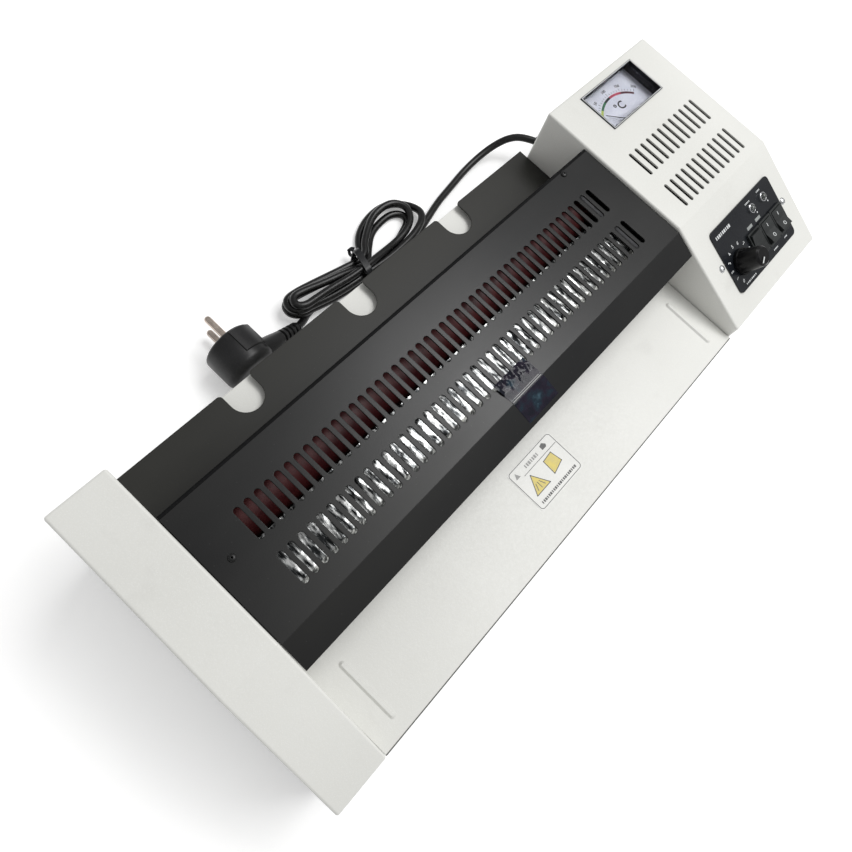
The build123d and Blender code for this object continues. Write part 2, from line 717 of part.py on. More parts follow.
def make_gear_train():
    """Every gear, phased so that all of them are in mesh at rest."""
    lower_hot = (HOT_Y, LOWER_Z)
    lower_pull = (PULL_Y, LOWER_Z)
    idler = idler_centre()
    pinion_reach = GEAR_MODULE * (ROLLER_TEETH + PINION_TEETH) / 2
    pinion_angle = math.radians(PINION_DIRECTION)
    pinion = (
        HOT_Y + pinion_reach * math.cos(pinion_angle),
        LOWER_Z + pinion_reach * math.sin(pinion_angle),
    )
    hot_turn = 0.0
    upper_hot_turn = meshing_turn(hot_turn, ROLLER_TEETH, 90.0, ROLLER_TEETH)
    pinion_turn = meshing_turn(hot_turn, ROLLER_TEETH, PINION_DIRECTION, PINION_TEETH)
    idler_turn = meshing_turn(hot_turn, ROLLER_TEETH, angle_to(lower_hot, idler), IDLER_TEETH)
    to_pull = angle_to(idler, lower_pull)
    pull_turn = meshing_turn(idler_turn, IDLER_TEETH, to_pull, ROLLER_TEETH)
    upper_pull_turn = meshing_turn(pull_turn, ROLLER_TEETH, 90.0, ROLLER_TEETH)
    hot_bore = HOT_JOURNAL_RADIUS
    pull_bore = PULL_JOURNAL_RADIUS
    idler_bore = IDLER_STUD_RADIUS + RUNNING_CLEARANCE
    shaft = rod(MOTOR_SHAFT_RADIUS, GEAR_START_X, MOTOR_START_X + 6.0, *pinion)
    return {
        "lower_hot_gear": make_gear(ROLLER_TEETH, hot_turn, HOT_Y, LOWER_Z, hot_bore),
        "upper_hot_gear": make_gear(ROLLER_TEETH, upper_hot_turn, HOT_Y, UPPER_Z, hot_bore),
        "lower_pull_gear": make_gear(ROLLER_TEETH, pull_turn, PULL_Y, LOWER_Z, pull_bore),
        "upper_pull_gear": make_gear(ROLLER_TEETH, upper_pull_turn, PULL_Y, UPPER_Z, pull_bore),
        "idler_gear": make_gear(IDLER_TEETH, idler_turn, *idler, idler_bore),
        "motor_pinion": make_gear(PINION_TEETH, pinion_turn, *pinion, 1.0) + shaft,
    }, pinion


def make_gear_motor(pinion):
    """Geared synchronous motor: round gearbox and a narrower motor can."""
    gearbox_end = MOTOR_START_X + 22.0
    motor_end = MOTOR_START_X + MOTOR_LENGTH
    motor = rod(MOTOR_RADIUS, MOTOR_START_X, gearbox_end, MOTOR_Y, MOTOR_Z)
    motor += rod(MOTOR_RADIUS - 1.5, gearbox_end, motor_end, MOTOR_Y, MOTOR_Z)
    bore = MOTOR_SHAFT_RADIUS + RUNNING_CLEARANCE
    motor -= rod(bore, MOTOR_START_X - 1, MOTOR_START_X + 6.5, *pinion)
    return motor


def make_motor_bracket(pinion):
    """Folded plate on the floor pan that the gear motor is bolted to."""
    plate_x = MOTOR_START_X - FRAME_SHEET
    plate_low = (plate_x, MOTOR_Y - 26, PAN_TOP_Z)
    bracket = box(plate_low, (MOTOR_START_X, MOTOR_Y + 26, MOTOR_Z + 26))
    foot_low = (plate_x, MOTOR_Y - 26, PAN_TOP_Z)
    bracket += box(foot_low, (plate_x + 20, MOTOR_Y + 26, PAN_TOP_Z + FRAME_SHEET))
    bracket -= rod(MOTOR_SHAFT_RADIUS + 1.0, plate_x - 1, MOTOR_START_X + 1, *pinion)
    bracket -= rod(MOTOR_RADIUS, MOTOR_START_X, plate_x + 21, MOTOR_Y, MOTOR_Z)
    return bracket


# ---------------------------------------------------------------- electronics


def make_control_board():
    """Circuit board on four spacers above the floor pan."""
    board = box(BOARD_LOW, BOARD_HIGH)
    for x in (BOARD_LOW[0] + 4, BOARD_HIGH[0] - 4):
        for y in (BOARD_LOW[1] + 4, BOARD_HIGH[1] - 4):
            board += post(2.5, x, y, PAN_TOP_Z, BOARD_LOW[2])
    return board


def make_board_parts():
    """Transformer, relays, capacitors, heat sink and terminal block."""
    base = BOARD_HIGH[2]
    parts = [
        box((166.0, 46.0, base), (196.0, 72.0, base + 24)),
        box((202.0, 58.0, base), (221.0, 73.0, base + 15)),
        box((202.0, 40.0, base), (221.0, 55.0, base + 15)),
        post(5.0, 171.0, 32.0, base, base + 16),
        post(4.0, 182.0, 32.0, base, base + 12),
        box((188.0, 28.0, base), (191.0, 42.0, base + 20)),
    ]
    terminals = box((198.0, 26.0, base), (226.0, 36.0, base + 10))
    for i in range(5):
        terminals -= post(1.6, 201.2 + 5.4 * i, 31.0, base + 4, base + 11)
    parts.append(terminals)
    return group(parts)


# ---------------------------------------------------------------- control panel


def make_control_panel():
    """Black faceplate with its openings for the switches, lamps and knob shaft."""
    face = extrude(RectangleRounded(PANEL_WIDTH, PANEL_HEIGHT, PANEL_CORNER), PANEL_SHEET)
    panel = on_slope(PANEL_ACROSS, PANEL_UP_SLOPE) * face
    panel -= list(control_cutters())
    return panel


def panel_screws():
    """Domed screws beside the faceplate."""
    for across in PANEL_SCREW_ACROSS:
        dome = Pos(0, 0, -1.9) * Sphere(3.4) & Pos(0, 0, 1) * Box(8, 8, 2)
        dome = dome + Pos(0, 0, -2.0) * Cylinder(1.5, 4.0)
        dome -= Pos(0, 0, 1.35) * Box(3.2, 0.6, 0.8)
        dome -= Pos(0, 0, 1.35) * Box(0.6, 3.2, 0.8)
        yield on_slope(across, PANEL_SCREW_UP_SLOPE) * dome


def make_temperature_pot():
    """Rotary temperature control behind the faceplate, with its threaded bush."""
    top = PANEL_SHEET
    pot = Pos(0, 0, -SHEET - 5) * Cylinder(11.0, 10.0)
    pot += Pos(0, 0, (top - SHEET) / 2) * Cylinder(4.6, SHEET + top)
    pot -= Pos(0, 0, -3) * Cylinder(KNOB_SHAFT_RADIUS + RUNNING_CLEARANCE, 12.0)
    pot += Pos(0, -13.0, -SHEET - 6) * Box(12.0, 8.0, 1.2)
    return on_slope(KNOB_ACROSS, KNOB_UP_SLOPE) * pot


def make_temperature_knob():
    """Tapered knob with finger flutes, a raised pointer and its shaft."""
    base = PANEL_SHEET + KNOB_GAP
    body_height = KNOB_HEIGHT - 1.5
    knob = Pos(0, 0, base + body_height / 2) * Cone(KNOB_BASE_RADIUS, KNOB_TOP_RADIUS, body_height)
    knob += Pos(0, 0, base + 1.0) * Cylinder(KNOB_BASE_RADIUS + 0.6, 2.0)
    cap = Pos(0, 0, base + body_height + 0.6) * Cone(KNOB_TOP_RADIUS, 5.6, 1.2)
    knob += cap
    for i in range(FLUTE_COUNT):
        turn = Rot(0, 0, 360 / FLUTE_COUNT * (i + 0.5))
        flute = Pos(KNOB_BASE_RADIUS + 0.5, 0, base + 10.0) * Cylinder(1.25, 16.0)
        knob -= turn * flute
    pointer = Rot(0, 0, KNOB_POINTER_ANGLE) * Pos(3.6, 0, base + body_height + 1.2) * Box(5.0, 1.2, 1.0)
    knob += pointer
    knob += Pos(0, 0, base / 2 - 3.0) * Cylinder(KNOB_SHAFT_RADIUS, base + 6.0)
    return on_slope(KNOB_ACROSS, KNOB_UP_SLOPE) * knob


def make_switch_housing():
    """Bezel and body of one rocker switch, hollow where the rocker swings."""
    bezel = extrude(RectangleRounded(BEZEL_WIDTH, BEZEL_HEIGHT, 1.0), BEZEL_RISE)
    bezel = Pos(0, 0, PANEL_SHEET) * bezel
    body_top = PANEL_SHEET
    body = Pos(0, 0, body_top - 7.0) * Box(BEZEL_WIDTH - 1.4, BEZEL_HEIGHT - 1.4, 14.0)
    housing = bezel + body
    swing = ROCKER_REACH + ROCKER_CLEARANCE
    well_width = ROCKER_WIDTH + 2 * ROCKER_CLEARANCE
    pivot = PANEL_SHEET + ROCKER_PIVOT_HEIGHT
    well = Pos(0, 0, pivot) * Box(well_width, 2 * swing, 12.0)
    housing -= well
    housing -= Pos(0, 0, pivot) * Rot(0, 90, 0) * Cylinder(ROCKER_PIN_RADIUS + 0.06, 14.0)
    for y in (-5.0, 0.0, 5.0):
        housing += Pos(0, y, body_top - 17.0) * Box(4.8, 0.8, 6.2)
    return housing


def make_switch_housings():
    return group(on_slope(x, ROCKER_UP_SLOPE) * make_switch_housing() for x in ROCKER_ACROSS)


def make_rocker(across, rest_tilt):
    """Rocker button: two facets that rise to their ends, round end faces and a pivot pin."""
    end_rise = ROCKER_REACH * math.tan(math.radians(ROCKER_TILT))
    mid_rise = 1.5
    outline = [
        (-ROCKER_REACH, -2.6),
        (ROCKER_REACH, -2.6),
        (ROCKER_REACH, mid_rise + end_rise),
        (0.0, mid_rise),
        (-ROCKER_REACH, mid_rise + end_rise),
    ]
    half_width = ROCKER_WIDTH / 2
    button = side_prism(outline, -half_width, half_width)
    button &= Rot(0, 90, 0) * Cylinder(ROCKER_REACH, ROCKER_WIDTH)
    button += Rot(0, 90, 0) * Cylinder(ROCKER_PIN_RADIUS, 13.4)
    pivot = PANEL_SHEET + ROCKER_PIVOT_HEIGHT
    return on_slope(across, ROCKER_UP_SLOPE, pivot) * Rot(rest_tilt, 0, 0) * button


def make_indicator_lamps():
    """Two panel lamps: a domed lens with a short body behind it."""
    lamps = []
    for across in LAMP_ACROSS:
        lamp = Pos(0, 0, -4.0) * Cylinder(2.6, 2 * (PANEL_SHEET + 4.0))
        lamp += Pos(0, 0, PANEL_SHEET + 0.9) * Cylinder(3.4, 1.8)
        lamp += Pos(0, 0, PANEL_SHEET + 1.0) * Sphere(2.5)
        lamps.append(on_slope(across, LAMP_UP_SLOPE) * lamp)
    return group(lamps)


# ---------------------------------------------------------------- temperature meter


def make_meter_housing():
    """Meter case under the top sheet, with a rim that stands up through it."""
    case = box(METER_BODY_LOW, METER_BODY_HIGH)
    rim_top = TOP_Z + METER_RIM
    case += box((METER_START_X, METER_FRONT_Y, 100.0), (METER_END_X, METER_REAR_Y, rim_top))
    inner_low = [METER_BODY_LOW[0] + METER_WALL, METER_BODY_LOW[1] + METER_WALL, 96.8]
    inner_high = [METER_BODY_HIGH[0] - METER_WALL, METER_BODY_HIGH[1] - METER_WALL, 105.4]
    case -= box(inner_low, inner_high)
    window_low = (METER_START_X + METER_WALL, METER_FRONT_Y + METER_WALL, 100.0)
    window_high = (METER_END_X - METER_WALL, METER_REAR_Y - METER_WALL, rim_top + 1)
    case -= box(window_low, window_high)
    case -= post(NEEDLE_PIN_RADIUS + RUNNING_CLEARANCE, NEEDLE_X, NEEDLE_Y, 92.0, 97.0)
    return case


def make_meter_dial():
    """Printed dial plate at the bottom of the recess."""
    low = (METER_BODY_LOW[0] + METER_WALL, METER_BODY_LOW[1] + METER_WALL, 96.8)
    high = (METER_BODY_HIGH[0] - METER_WALL, METER_BODY_HIGH[1] - METER_WALL, DIAL_TOP_Z)
    return box(low, high) - post(2.0, NEEDLE_X, NEEDLE_Y, 96.0, DIAL_TOP_Z + 1)


def make_meter_window():
    """Clear window just below the rim."""
    low = (METER_START_X + METER_WALL, METER_FRONT_Y + METER_WALL, 106.4)
    return box(low, (METER_END_X - METER_WALL, METER_REAR_Y - METER_WALL, 107.6))


def make_meter_needle():
    """Thin pointer with a counterweight tail on a vertical pin."""
    blade = Pos(NEEDLE_LENGTH / 2 - 2.0, 0, 0) * Box(NEEDLE_LENGTH + 4.0, 0.9, 0.5)
    hub = Cylinder(2.2, 1.6)
    pin_top = Pos(0, 0, -4.2) * Cylinder(NEEDLE_PIN_RADIUS, 8.4)
    needle = blade + hub + pin_top
    return Pos(NEEDLE_X, NEEDLE_Y, NEEDLE_Z) * Rot(0, 0, NEEDLE_REST_ANGLE) * needle


# ---------------------------------------------------------------- fasteners


def case_screws():
    """Screws of the feet, the rear panel and the vented cover."""
    for x, y in FOOT_PLACES:
        yield post(1.9, x, y, 3.4, PAN_TOP_Z + 3) + post(3.8, x, y, 1.0, 3.4)
    for x in REAR_SCREW_X:
        shank = dowel(1.7, x, REAR_PANEL_Y - 6, REAR_PANEL_Y, REAR_SCREW_Z)
        yield shank + dowel(3.4, x, REAR_PANEL_Y, REAR_Y, REAR_SCREW_Z)
    for x, y in VENTED_SCREWS:
        shank = post(1.2, x, y, VENTED_TOP_Z - 3, VENTED_TOP_Z)
        yield shank + post(1.9, x, y, VENTED_TOP_Z, VENTED_TOP_Z + 0.7)


def make_screws():
    return group([*panel_screws(), *case_screws()])


# ---------------------------------------------------------------- mains lead


def boot_direction():
    swing = math.radians(BOOT_SWING)
    drop = math.radians(BOOT_DROP)
    return Vector(-math.sin(swing), math.cos(swing), -math.sin(drop)).normalized()


def make_cord_gland():
    """Strain relief: a grommet in the rear wall and a tapered flexible boot."""
    grommet = dowel(6.0, GLAND_X, COVER_REAR_Y - SHEET - 5, COVER_REAR_Y + 1.0, GLAND_Z)
    grommet += dowel(8.0, GLAND_X, COVER_REAR_Y, COVER_REAR_Y + 2.4, GLAND_Z)
    start = Vector(GLAND_X, COVER_REAR_Y, GLAND_Z)
    direction = boot_direction()
    boot_plane = Plane(origin=start + direction * (BOOT_LENGTH / 2), z_dir=direction)
    boot = boot_plane.location * Cone(5.6, 4.0, BOOT_LENGTH)
    behind_wall = box(
        (GLAND_X - 20, COVER_REAR_Y - 20, 0.5),
        (GLAND_X + 20, COVER_REAR_Y, GLAND_Z + 20),
    )
    return grommet + (boot - behind_wall)


def fold_radii(points):
    """Largest arc that each corner's two runs leave room for."""
    radii = []
    for before, corner, after in zip(points, points[1:], points[2:]):
        arriving = Vector(*corner) - Vector(*before)
        leaving = Vector(*after) - Vector(*corner)
        half_turn = math.radians(arriving.get_angle(leaving)) / 2
        shorter = min(arriving.length, leaving.length)
        radii.append(0.45 * shorter / math.tan(half_turn))
    return radii


def make_cord_tube(name, points):
    """Round lead along straight runs joined by tangent arcs."""
    radii = fold_radii(points)
    path = FilletPolyline(*points, radius=radii)
    section = Plane(origin=path @ 0, z_dir=path % 0) * Circle(CORD_RADIUS)
    tube = sweep(section, path=path)
    expected = math.pi * CORD_RADIUS**2 * path.length
    print(name, "length", round(path.length, 1), "radii", [round(r, 1) for r in radii])
    print(name, "volume over section times length", round(tube.volume / expected, 4))
    return tube


def make_cord_hank():
    """The tied bundle and its open loop as one closed solid of their outer shape."""
    bundle_outline = [
        (-58.0, 127.0),
        (-50.0, 121.5),
        (-24.0, 117.6),
        (0.0, 115.0),
        (16.0, 115.0),
        (18.0, 133.0),
        (8.0, 139.5),
        (-30.0, 141.0),
        (-52.0, 143.5),
        (-58.0, 138.0),
    ]
    loop_outline = [
        (10.0, 115.0),
        (46.0, 114.5),
        (68.0, 117.0),
        (81.6, 119.4),
        (78.4, 130.0),
        (80.0, 146.0),
        (70.0, 157.0),
        (50.0, 158.5),
        (30.0, 151.5),
        (10.0, 137.0),
    ]
    loop_hole = [
        (26.0, 131.0),
        (42.0, 126.5),
        (64.0, 131.5),
        (64.0, 144.0),
        (54.0, 149.0),
        (38.0, 145.0),
    ]
    bundle = flat_prism(bundle_outline, 0.0, HANK_HEIGHT)
    bundle = fillet(bundle.edges().filter_by(Axis.Z), 3.0)
    loop = flat_prism(loop_outline, 0.0, LOOP_HEIGHT)
    loop = fillet(loop.edges().filter_by(Axis.Z), 3.0)
    hole = fillet(flat_prism(loop_hole, -1.0, LOOP_HEIGHT + 1).edges().filter_by(Axis.Z), 3.0)
    return bundle + loop - hole


def make_cord_tie():
    """Twisted wire tie round the bundle, with its knot."""
    low = (5.0, 113.2, 0.2)
    high = (11.0, 141.0, 18.6)
    band = box(low, high) - box((4.0, 114.8, -1.0), (12.0, 139.6, 17.0))
    knot = box((5.8, 141.0, 8.0), (10.2, 145.0, 12.0))
    return band + knot


def make_plug_body():
    """Angled plug: round face, flat sides, and a ribbed neck towards its lead."""
    centre_z = PLUG_RADIUS
    body = dowel(PLUG_RADIUS, PLUG_X, PLUG_BACK_Y, PLUG_FACE_Y, centre_z)
    neck_outline = [
        (PLUG_X, PLUG_BACK_Y),
        (PLUG_X + PLUG_RADIUS + 2.0, PLUG_BACK_Y + 1.0),
        (PLUG_X + PLUG_RADIUS + 8.0, PLUG_BACK_Y + 4.0),
        (PLUG_X + PLUG_RADIUS + 8.0, PLUG_BACK_Y + 12.0),
        (PLUG_X + PLUG_RADIUS + 1.0, PLUG_BACK_Y + 16.0),
        (PLUG_X, PLUG_BACK_Y + 16.0),
    ]
    body += flat_prism(neck_outline, centre_z - 7.0, centre_z + 6.0)
    relief_end = Vector(*TAIL_POINTS[-1])
    relief_start = Vector(PLUG_X + PLUG_RADIUS + 6.0, PLUG_BACK_Y + 8.0, 17.4)
    axis = relief_end - relief_start
    middle = relief_start + axis * 0.5
    body += Plane(origin=middle, z_dir=axis).location * Cone(5.4, 3.8, axis.length)
    for side in (-1, 1):
        slot_low = (PLUG_X + side * 17.6 - 2.0, PLUG_FACE_Y - 9.0, centre_z - 4.0)
        slot_high = (PLUG_X + side * 17.6 + 2.0, PLUG_FACE_Y + 1.0, centre_z + 4.0)
        body -= box(slot_low, slot_high)
    for z in plug_pin_heights():
        body -= dowel(PLUG_PIN_RADIUS, PLUG_X, PLUG_FACE_Y - 8.0, PLUG_FACE_Y + 1.0, z)
    return body


def plug_pin_heights():
    half = PLUG_PIN_SPACING / 2
    return PLUG_RADIUS - half, PLUG_RADIUS + half


def make_plug_pins():
    pins = []
    end_y = PLUG_FACE_Y + PLUG_PIN_LENGTH
    for z in plug_pin_heights():
        pin = dowel(PLUG_PIN_RADIUS, PLUG_X, PLUG_FACE_Y - 8.0, end_y - 2.0, z)
        tip = Pos(PLUG_X, end_y - 2.0, z) * Sphere(PLUG_PIN_RADIUS)
        pins.append(pin + tip)
    return group(pins)


# ---------------------------------------------------------------- the whole machine


def build():
    gears, pinion = make_gear_train()
    nodes = {
        "base_pan": make_base_pan(),
        "rear_base_panel": make_rear_base_panel(),
        "left_end_cover": make_left_end_cover(),
        "right_end_cover": make_right_end_cover(),
        "top_cover": make_top_cover(),
        "feed_tray": make_feed_tray(),
        "exit_tray": make_exit_tray(),
        "guide_plate": make_guide_plate(),
        "tray_label": make_tray_label(),
        "rubber_feet": make_rubber_feet(),
        "left_side_frame": make_side_frame(LEFT_FRAME_X, FRAME_FLANGE_X[0]),
        "right_side_frame": make_right_side_frame(),
        "lower_bearings": make_lower_bearings(),
        "upper_hot_blocks": make_blocks(HOT_Y, HOT_JOURNAL_RADIUS),
        "upper_pull_blocks": make_blocks(PULL_Y, PULL_JOURNAL_RADIUS),
        "hot_springs": make_springs(HOT_Y),
        "pull_springs": make_springs(PULL_Y),
        "lower_hot_core": make_hot_core(LOWER_Z),
        "upper_hot_core": make_hot_core(UPPER_Z),
        "lower_hot_sleeve": make_sleeve(HOT_CORE_RADIUS, HOT_Y, LOWER_Z),
        "upper_hot_sleeve": make_sleeve(HOT_CORE_RADIUS, HOT_Y, UPPER_Z),
        "lower_pull_shaft": make_pull_shaft(LOWER_Z),
        "upper_pull_shaft": make_pull_shaft(UPPER_Z),
        "lower_pull_sleeve": make_sleeve(PULL_CORE_RADIUS, PULL_Y, LOWER_Z),
        "upper_pull_sleeve": make_sleeve(PULL_CORE_RADIUS, PULL_Y, UPPER_Z),
        "upper_reflector": make_upper_reflector(),
        "lower_reflector": make_lower_reflector(),
        "heater_tubes": make_heater_tubes(),
        "heater_holders": make_heater_holders(),
        "thermal_cutout": make_thermal_cutout(),
        "gear_motor": make_gear_motor(pinion),
        "motor_bracket": make_motor_bracket(pinion),
        "control_board": make_control_board(),
        "board_parts": make_board_parts(),
        "control_panel": make_control_panel(),
        "temperature_pot": make_temperature_pot(),
        "temperature_knob": make_temperature_knob(),
        "switch_housings": make_switch_housings(),
        "direction_rocker": make_rocker(ROCKER_ACROSS[0], 0.0),
        "heat_rocker": make_rocker(ROCKER_ACROSS[1], -ROCKER_TILT),
        "power_rocker": make_rocker(ROCKER_ACROSS[2], -ROCKER_TILT),
        "indicator_lamps": make_indicator_lamps(),
        "meter_housing": make_meter_housing(),
        "meter_dial": make_meter_dial(),
        "meter_window": make_meter_window(),
        "meter_needle": make_meter_needle(),
        "screws": make_screws(),
        "cord_gland": make_cord_gland(),
        "cord_lead": make_cord_tube("cord_lead", LEAD_POINTS),
        "cord_hank": make_cord_hank(),
        "cord_tail": make_cord_tube("cord_tail", TAIL_POINTS),
        "cord_tie": make_cord_tie(),
        "plug_body": make_plug_body(),
        "plug_pins": make_plug_pins(),
    }
    nodes.update(gears)
    return nodes


os.makedirs("parts", exist_ok=True)
for node_name, node_shape in build().items():
    export(node_name, node_shape)
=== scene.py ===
import math

import bmesh
import bpy
from mathutils import Matrix, Vector


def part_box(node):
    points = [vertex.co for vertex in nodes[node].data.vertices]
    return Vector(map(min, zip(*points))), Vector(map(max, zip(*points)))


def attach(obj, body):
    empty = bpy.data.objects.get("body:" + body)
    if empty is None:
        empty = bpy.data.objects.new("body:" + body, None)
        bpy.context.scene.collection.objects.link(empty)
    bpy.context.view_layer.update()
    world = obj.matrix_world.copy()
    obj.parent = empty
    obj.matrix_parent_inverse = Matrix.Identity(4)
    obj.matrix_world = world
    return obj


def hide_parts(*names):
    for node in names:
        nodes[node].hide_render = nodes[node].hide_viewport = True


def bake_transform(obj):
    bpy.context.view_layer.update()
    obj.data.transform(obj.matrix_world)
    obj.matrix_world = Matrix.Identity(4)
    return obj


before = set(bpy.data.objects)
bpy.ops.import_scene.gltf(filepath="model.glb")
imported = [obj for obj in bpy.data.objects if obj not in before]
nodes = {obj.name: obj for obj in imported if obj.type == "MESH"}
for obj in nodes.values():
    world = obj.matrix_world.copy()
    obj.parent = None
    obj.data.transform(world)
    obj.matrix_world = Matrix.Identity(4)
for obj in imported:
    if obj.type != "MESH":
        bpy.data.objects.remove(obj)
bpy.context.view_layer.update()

MM = 0.001
SCENE = bpy.context.scene
TO_METRES = Matrix.Scale(MM, 4)

# Camera, in metres, degrees and lens millimetres
CAMERA_PLACE = (-0.2284, -0.0301, 0.4437)
CAMERA_TURN = (19.859, -12.010, -47.561)
SENSOR_WIDTH = 36.0
FOCAL_LENGTH = 29.265

# Floor and light, in metres and watts
FLOOR_HALF = 4.0
FLOOR_Z = -0.0002
FLOOR_GLOW = 0.3
LIGHT_AIM = (0.0, 0.0, 0.1)
KEY_WATTS = 16.5
SHEEN_WATTS = 5.5
SKY_STRENGTH = 0.44

# Control panel, in millimetres from here on. It lies on the slope of the right end cover,
# which starts at the cover's bend.
BEND_PLACE = (0.0, -22.7, 108.0)
SLOPE_ANGLE = math.atan2(31.8, 75.8)
PANEL_TOP = 1.0
KNOB_SPOT = (168.8, -49.5)
KNOB_TOP = 18.3
KNOB_POINTER_ANGLE = 212.0
ROCKER_SPOTS = ((191.6, -49.0), (207.1, -49.0), (222.6, -49.0))
ROCKER_BODIES = ("direction_switch", "heat_switch", "power_switch")
LAMP_SPOTS = ((202.0, -27.5), (217.6, -27.5))

# Vented cover
COVER_TOP = 105.7
COVER_BEND_Y = -24.2
COVER_LIP = (-41.0, 98.4)
COVER_SCREW_SPOTS = ((105.7, 55.0), (-204.1, 20.6))
SHADE_HEM_ENDS = (-215.2, 133.2)

# Film stuck over the cover's bend
FILM_START_X = -43.6
FILM_START_Y = -9.6
FILM_WIDTH = 27.0
FILM_LENGTH = 30.0
FILM_THICKNESS = 0.12
FILM_GAP = 0.05
FILM_LOOSE_LENGTH = 12.0
FILM_WRINKLE = 0.45
FILM_COLUMNS = 28
FILM_ROWS = 30

# Pressure springs
SPRING_RADIUS = 3.9
SPRING_WIRE = 0.7
SPRING_TURNS = 4.5
SPRING_FLAT_TURNS = 0.4
SPRING_STEPS = 24

# Feed tray and its label
TRAY_TOP = 66.5
FOLD_RADIUS = 1.0
LABEL_MIDDLE = (-39.1, -65.0)
LABEL_HALF = (20.5, 15.0)
LABEL_EDGE = 0.7
LABEL_CORNER = 2.2

# Temperature meter
DIAL_PLACE = (192.5, 50.2, 98.8)
DIAL_RADIUS = 26.4
NEEDLE_Z = 101.0
NEEDLE_ANGLE = 135.0
NEEDLE_LENGTH = 25.0
METER_LOW = (162.5, 54.6)
METER_HIGH = (222.5, 86.0)
METER_RIM_TOP = 108.8

# Mains lead: out of the boot, down to the floor, three turns, and the plug
CORD_DIAMETER = 5.6
LEAD_POINTS = (
    (193.7, 112.4, 22.5), (189.3, 121.9, 21.7), (182.2, 129.5, 18.4), (171.8, 134.5, 13.0),
    (157.5, 137.0, 7.6), (139.5, 136.8, 3.8), (120.0, 133.6, 3.0), (100.0, 130.4, 3.0),
    (80.0, 124.6, 3.2),
)
FIRST_RUN = (
    (62, 119.8, 3.0), (42, 118.6, 2.9), (26, 118.6, 2.9), (8, 119.6, 2.9), (-10, 120.6, 3.4),
    (-28, 122.4, 5.6), (-43, 125.2, 8.2), (-52.6, 126.6, 8.6), (-57.2, 132.6, 8.6),
    (-55.0, 139.6, 8.6), (-46, 140.0, 8.0), (-28, 137.4, 5.6), (-10, 134.8, 3.2),
    (8, 131.6, 2.9),
)
OUTER_LOOP = (
    (14, 130.8, 2.9), (19.5, 135.8, 2.9), (23.5, 143.4, 2.9), (31.5, 150.0, 2.9),
    (44, 154.6, 2.9), (58, 155.9, 2.9), (69.5, 152.8, 2.9), (76.0, 146.5, 3.2),
    (80.5, 138.5, 4.5), (79.5, 130.0, 7.5), (72, 123.9, 8.6), (58, 119.9, 8.6),
    (42, 118.7, 8.5), (28, 118.5, 8.5),
)
SECOND_RUN = (
    (12, 119.7, 8.5), (-8, 120.4, 9.0), (-26, 122.0, 11.0), (-42, 125.0, 13.6),
    (-51.5, 126.2, 14.1), (-56.4, 132.2, 14.1), (-54.4, 139.2, 14.1), (-45, 139.8, 13.6),
    (-26, 137.2, 11.2), (-8, 134.4, 9.0), (8, 131.4, 8.5),
)
TOP_LOOP = (
    (14, 130.8, 8.5), (20.5, 133.6, 8.3), (24.5, 139, 8.0), (36.5, 146.7, 7.8),
    (46.7, 151.5, 8.2), (58, 152.6, 8.6), (67.5, 150.4, 8.5), (72.5, 143.5, 8.5),
    (72.5, 138, 8.2), (67, 130.5, 8.5), (56, 125.8, 8.5), (42, 124.3, 8.5),
)
THIRD_RUN = (
    (27, 123.6, 11.0), (12, 122.6, 13.5), (-6, 123.0, 14.2), (-22, 125.0, 15.6),
    (-38, 125.6, 17.4), (-49, 125.8, 18.6), (-54.0, 131.0, 19.0), (-50.0, 136.6, 18.6),
    (-40, 135.4, 17.4), (-24, 131.8, 14.6), (-8, 128.8, 13.2), (4, 126.6, 10.6),
    (12, 125.4, 8.5),
)
INNER_LOOP = (
    (15, 126.5, 7.0), (20, 129.8, 4.2), (27, 136, 3.0), (38.2, 144.3, 2.9),
    (52.5, 146.6, 2.9), (62.7, 146.0, 2.9), (69.5, 140.5, 2.9), (68.5, 134, 2.9),
    (61.9, 130.6, 2.9), (48.6, 126.3, 2.9), (42, 124.6, 2.9),
)
LAST_RUN = (
    (27, 125, 2.9), (12, 125.4, 2.9), (-8, 127.2, 2.9), (-28, 128.6, 2.9),
    (-46.5, 126.0, 3.6), (-53.0, 122.6, 5.8), (-60.5, 120.9, 9.2),
)

# Boot, tie and plug on the lead
BOOT_PLACE = (203.0, 92.5, 24.0)
BOOT_SWING = 25.0
BOOT_DROP = 4.0
BOOT_RIBS = 5
BOOT_RIB_PITCH = 3.7
TIE_MIDDLE = (8.6, 126.2, 9.1)
TIE_HALF_SIZE = (11.0, 8.9)
TIE_CORNER = 5.0
TIE_HALF_WIDTH = 2.6
TIE_THICKNESS = 0.9
TIE_LEAN = 0.28
KNOT_MIDDLE = (10.2, 139.0, 9.4)
KNOT_RADIUS = 2.5
KNOT_WIRE = 1.15
PLUG_MIDDLE = (-106.5, 112.2, 18.5)
PLUG_RADIUS = 18.5
PLUG_DEPTH = 26.3
RELIEF_START = (-79.0, 120.1, 16.6)
RELIEF_RIBS = 5


# ---------------------------------------------------------------- materials


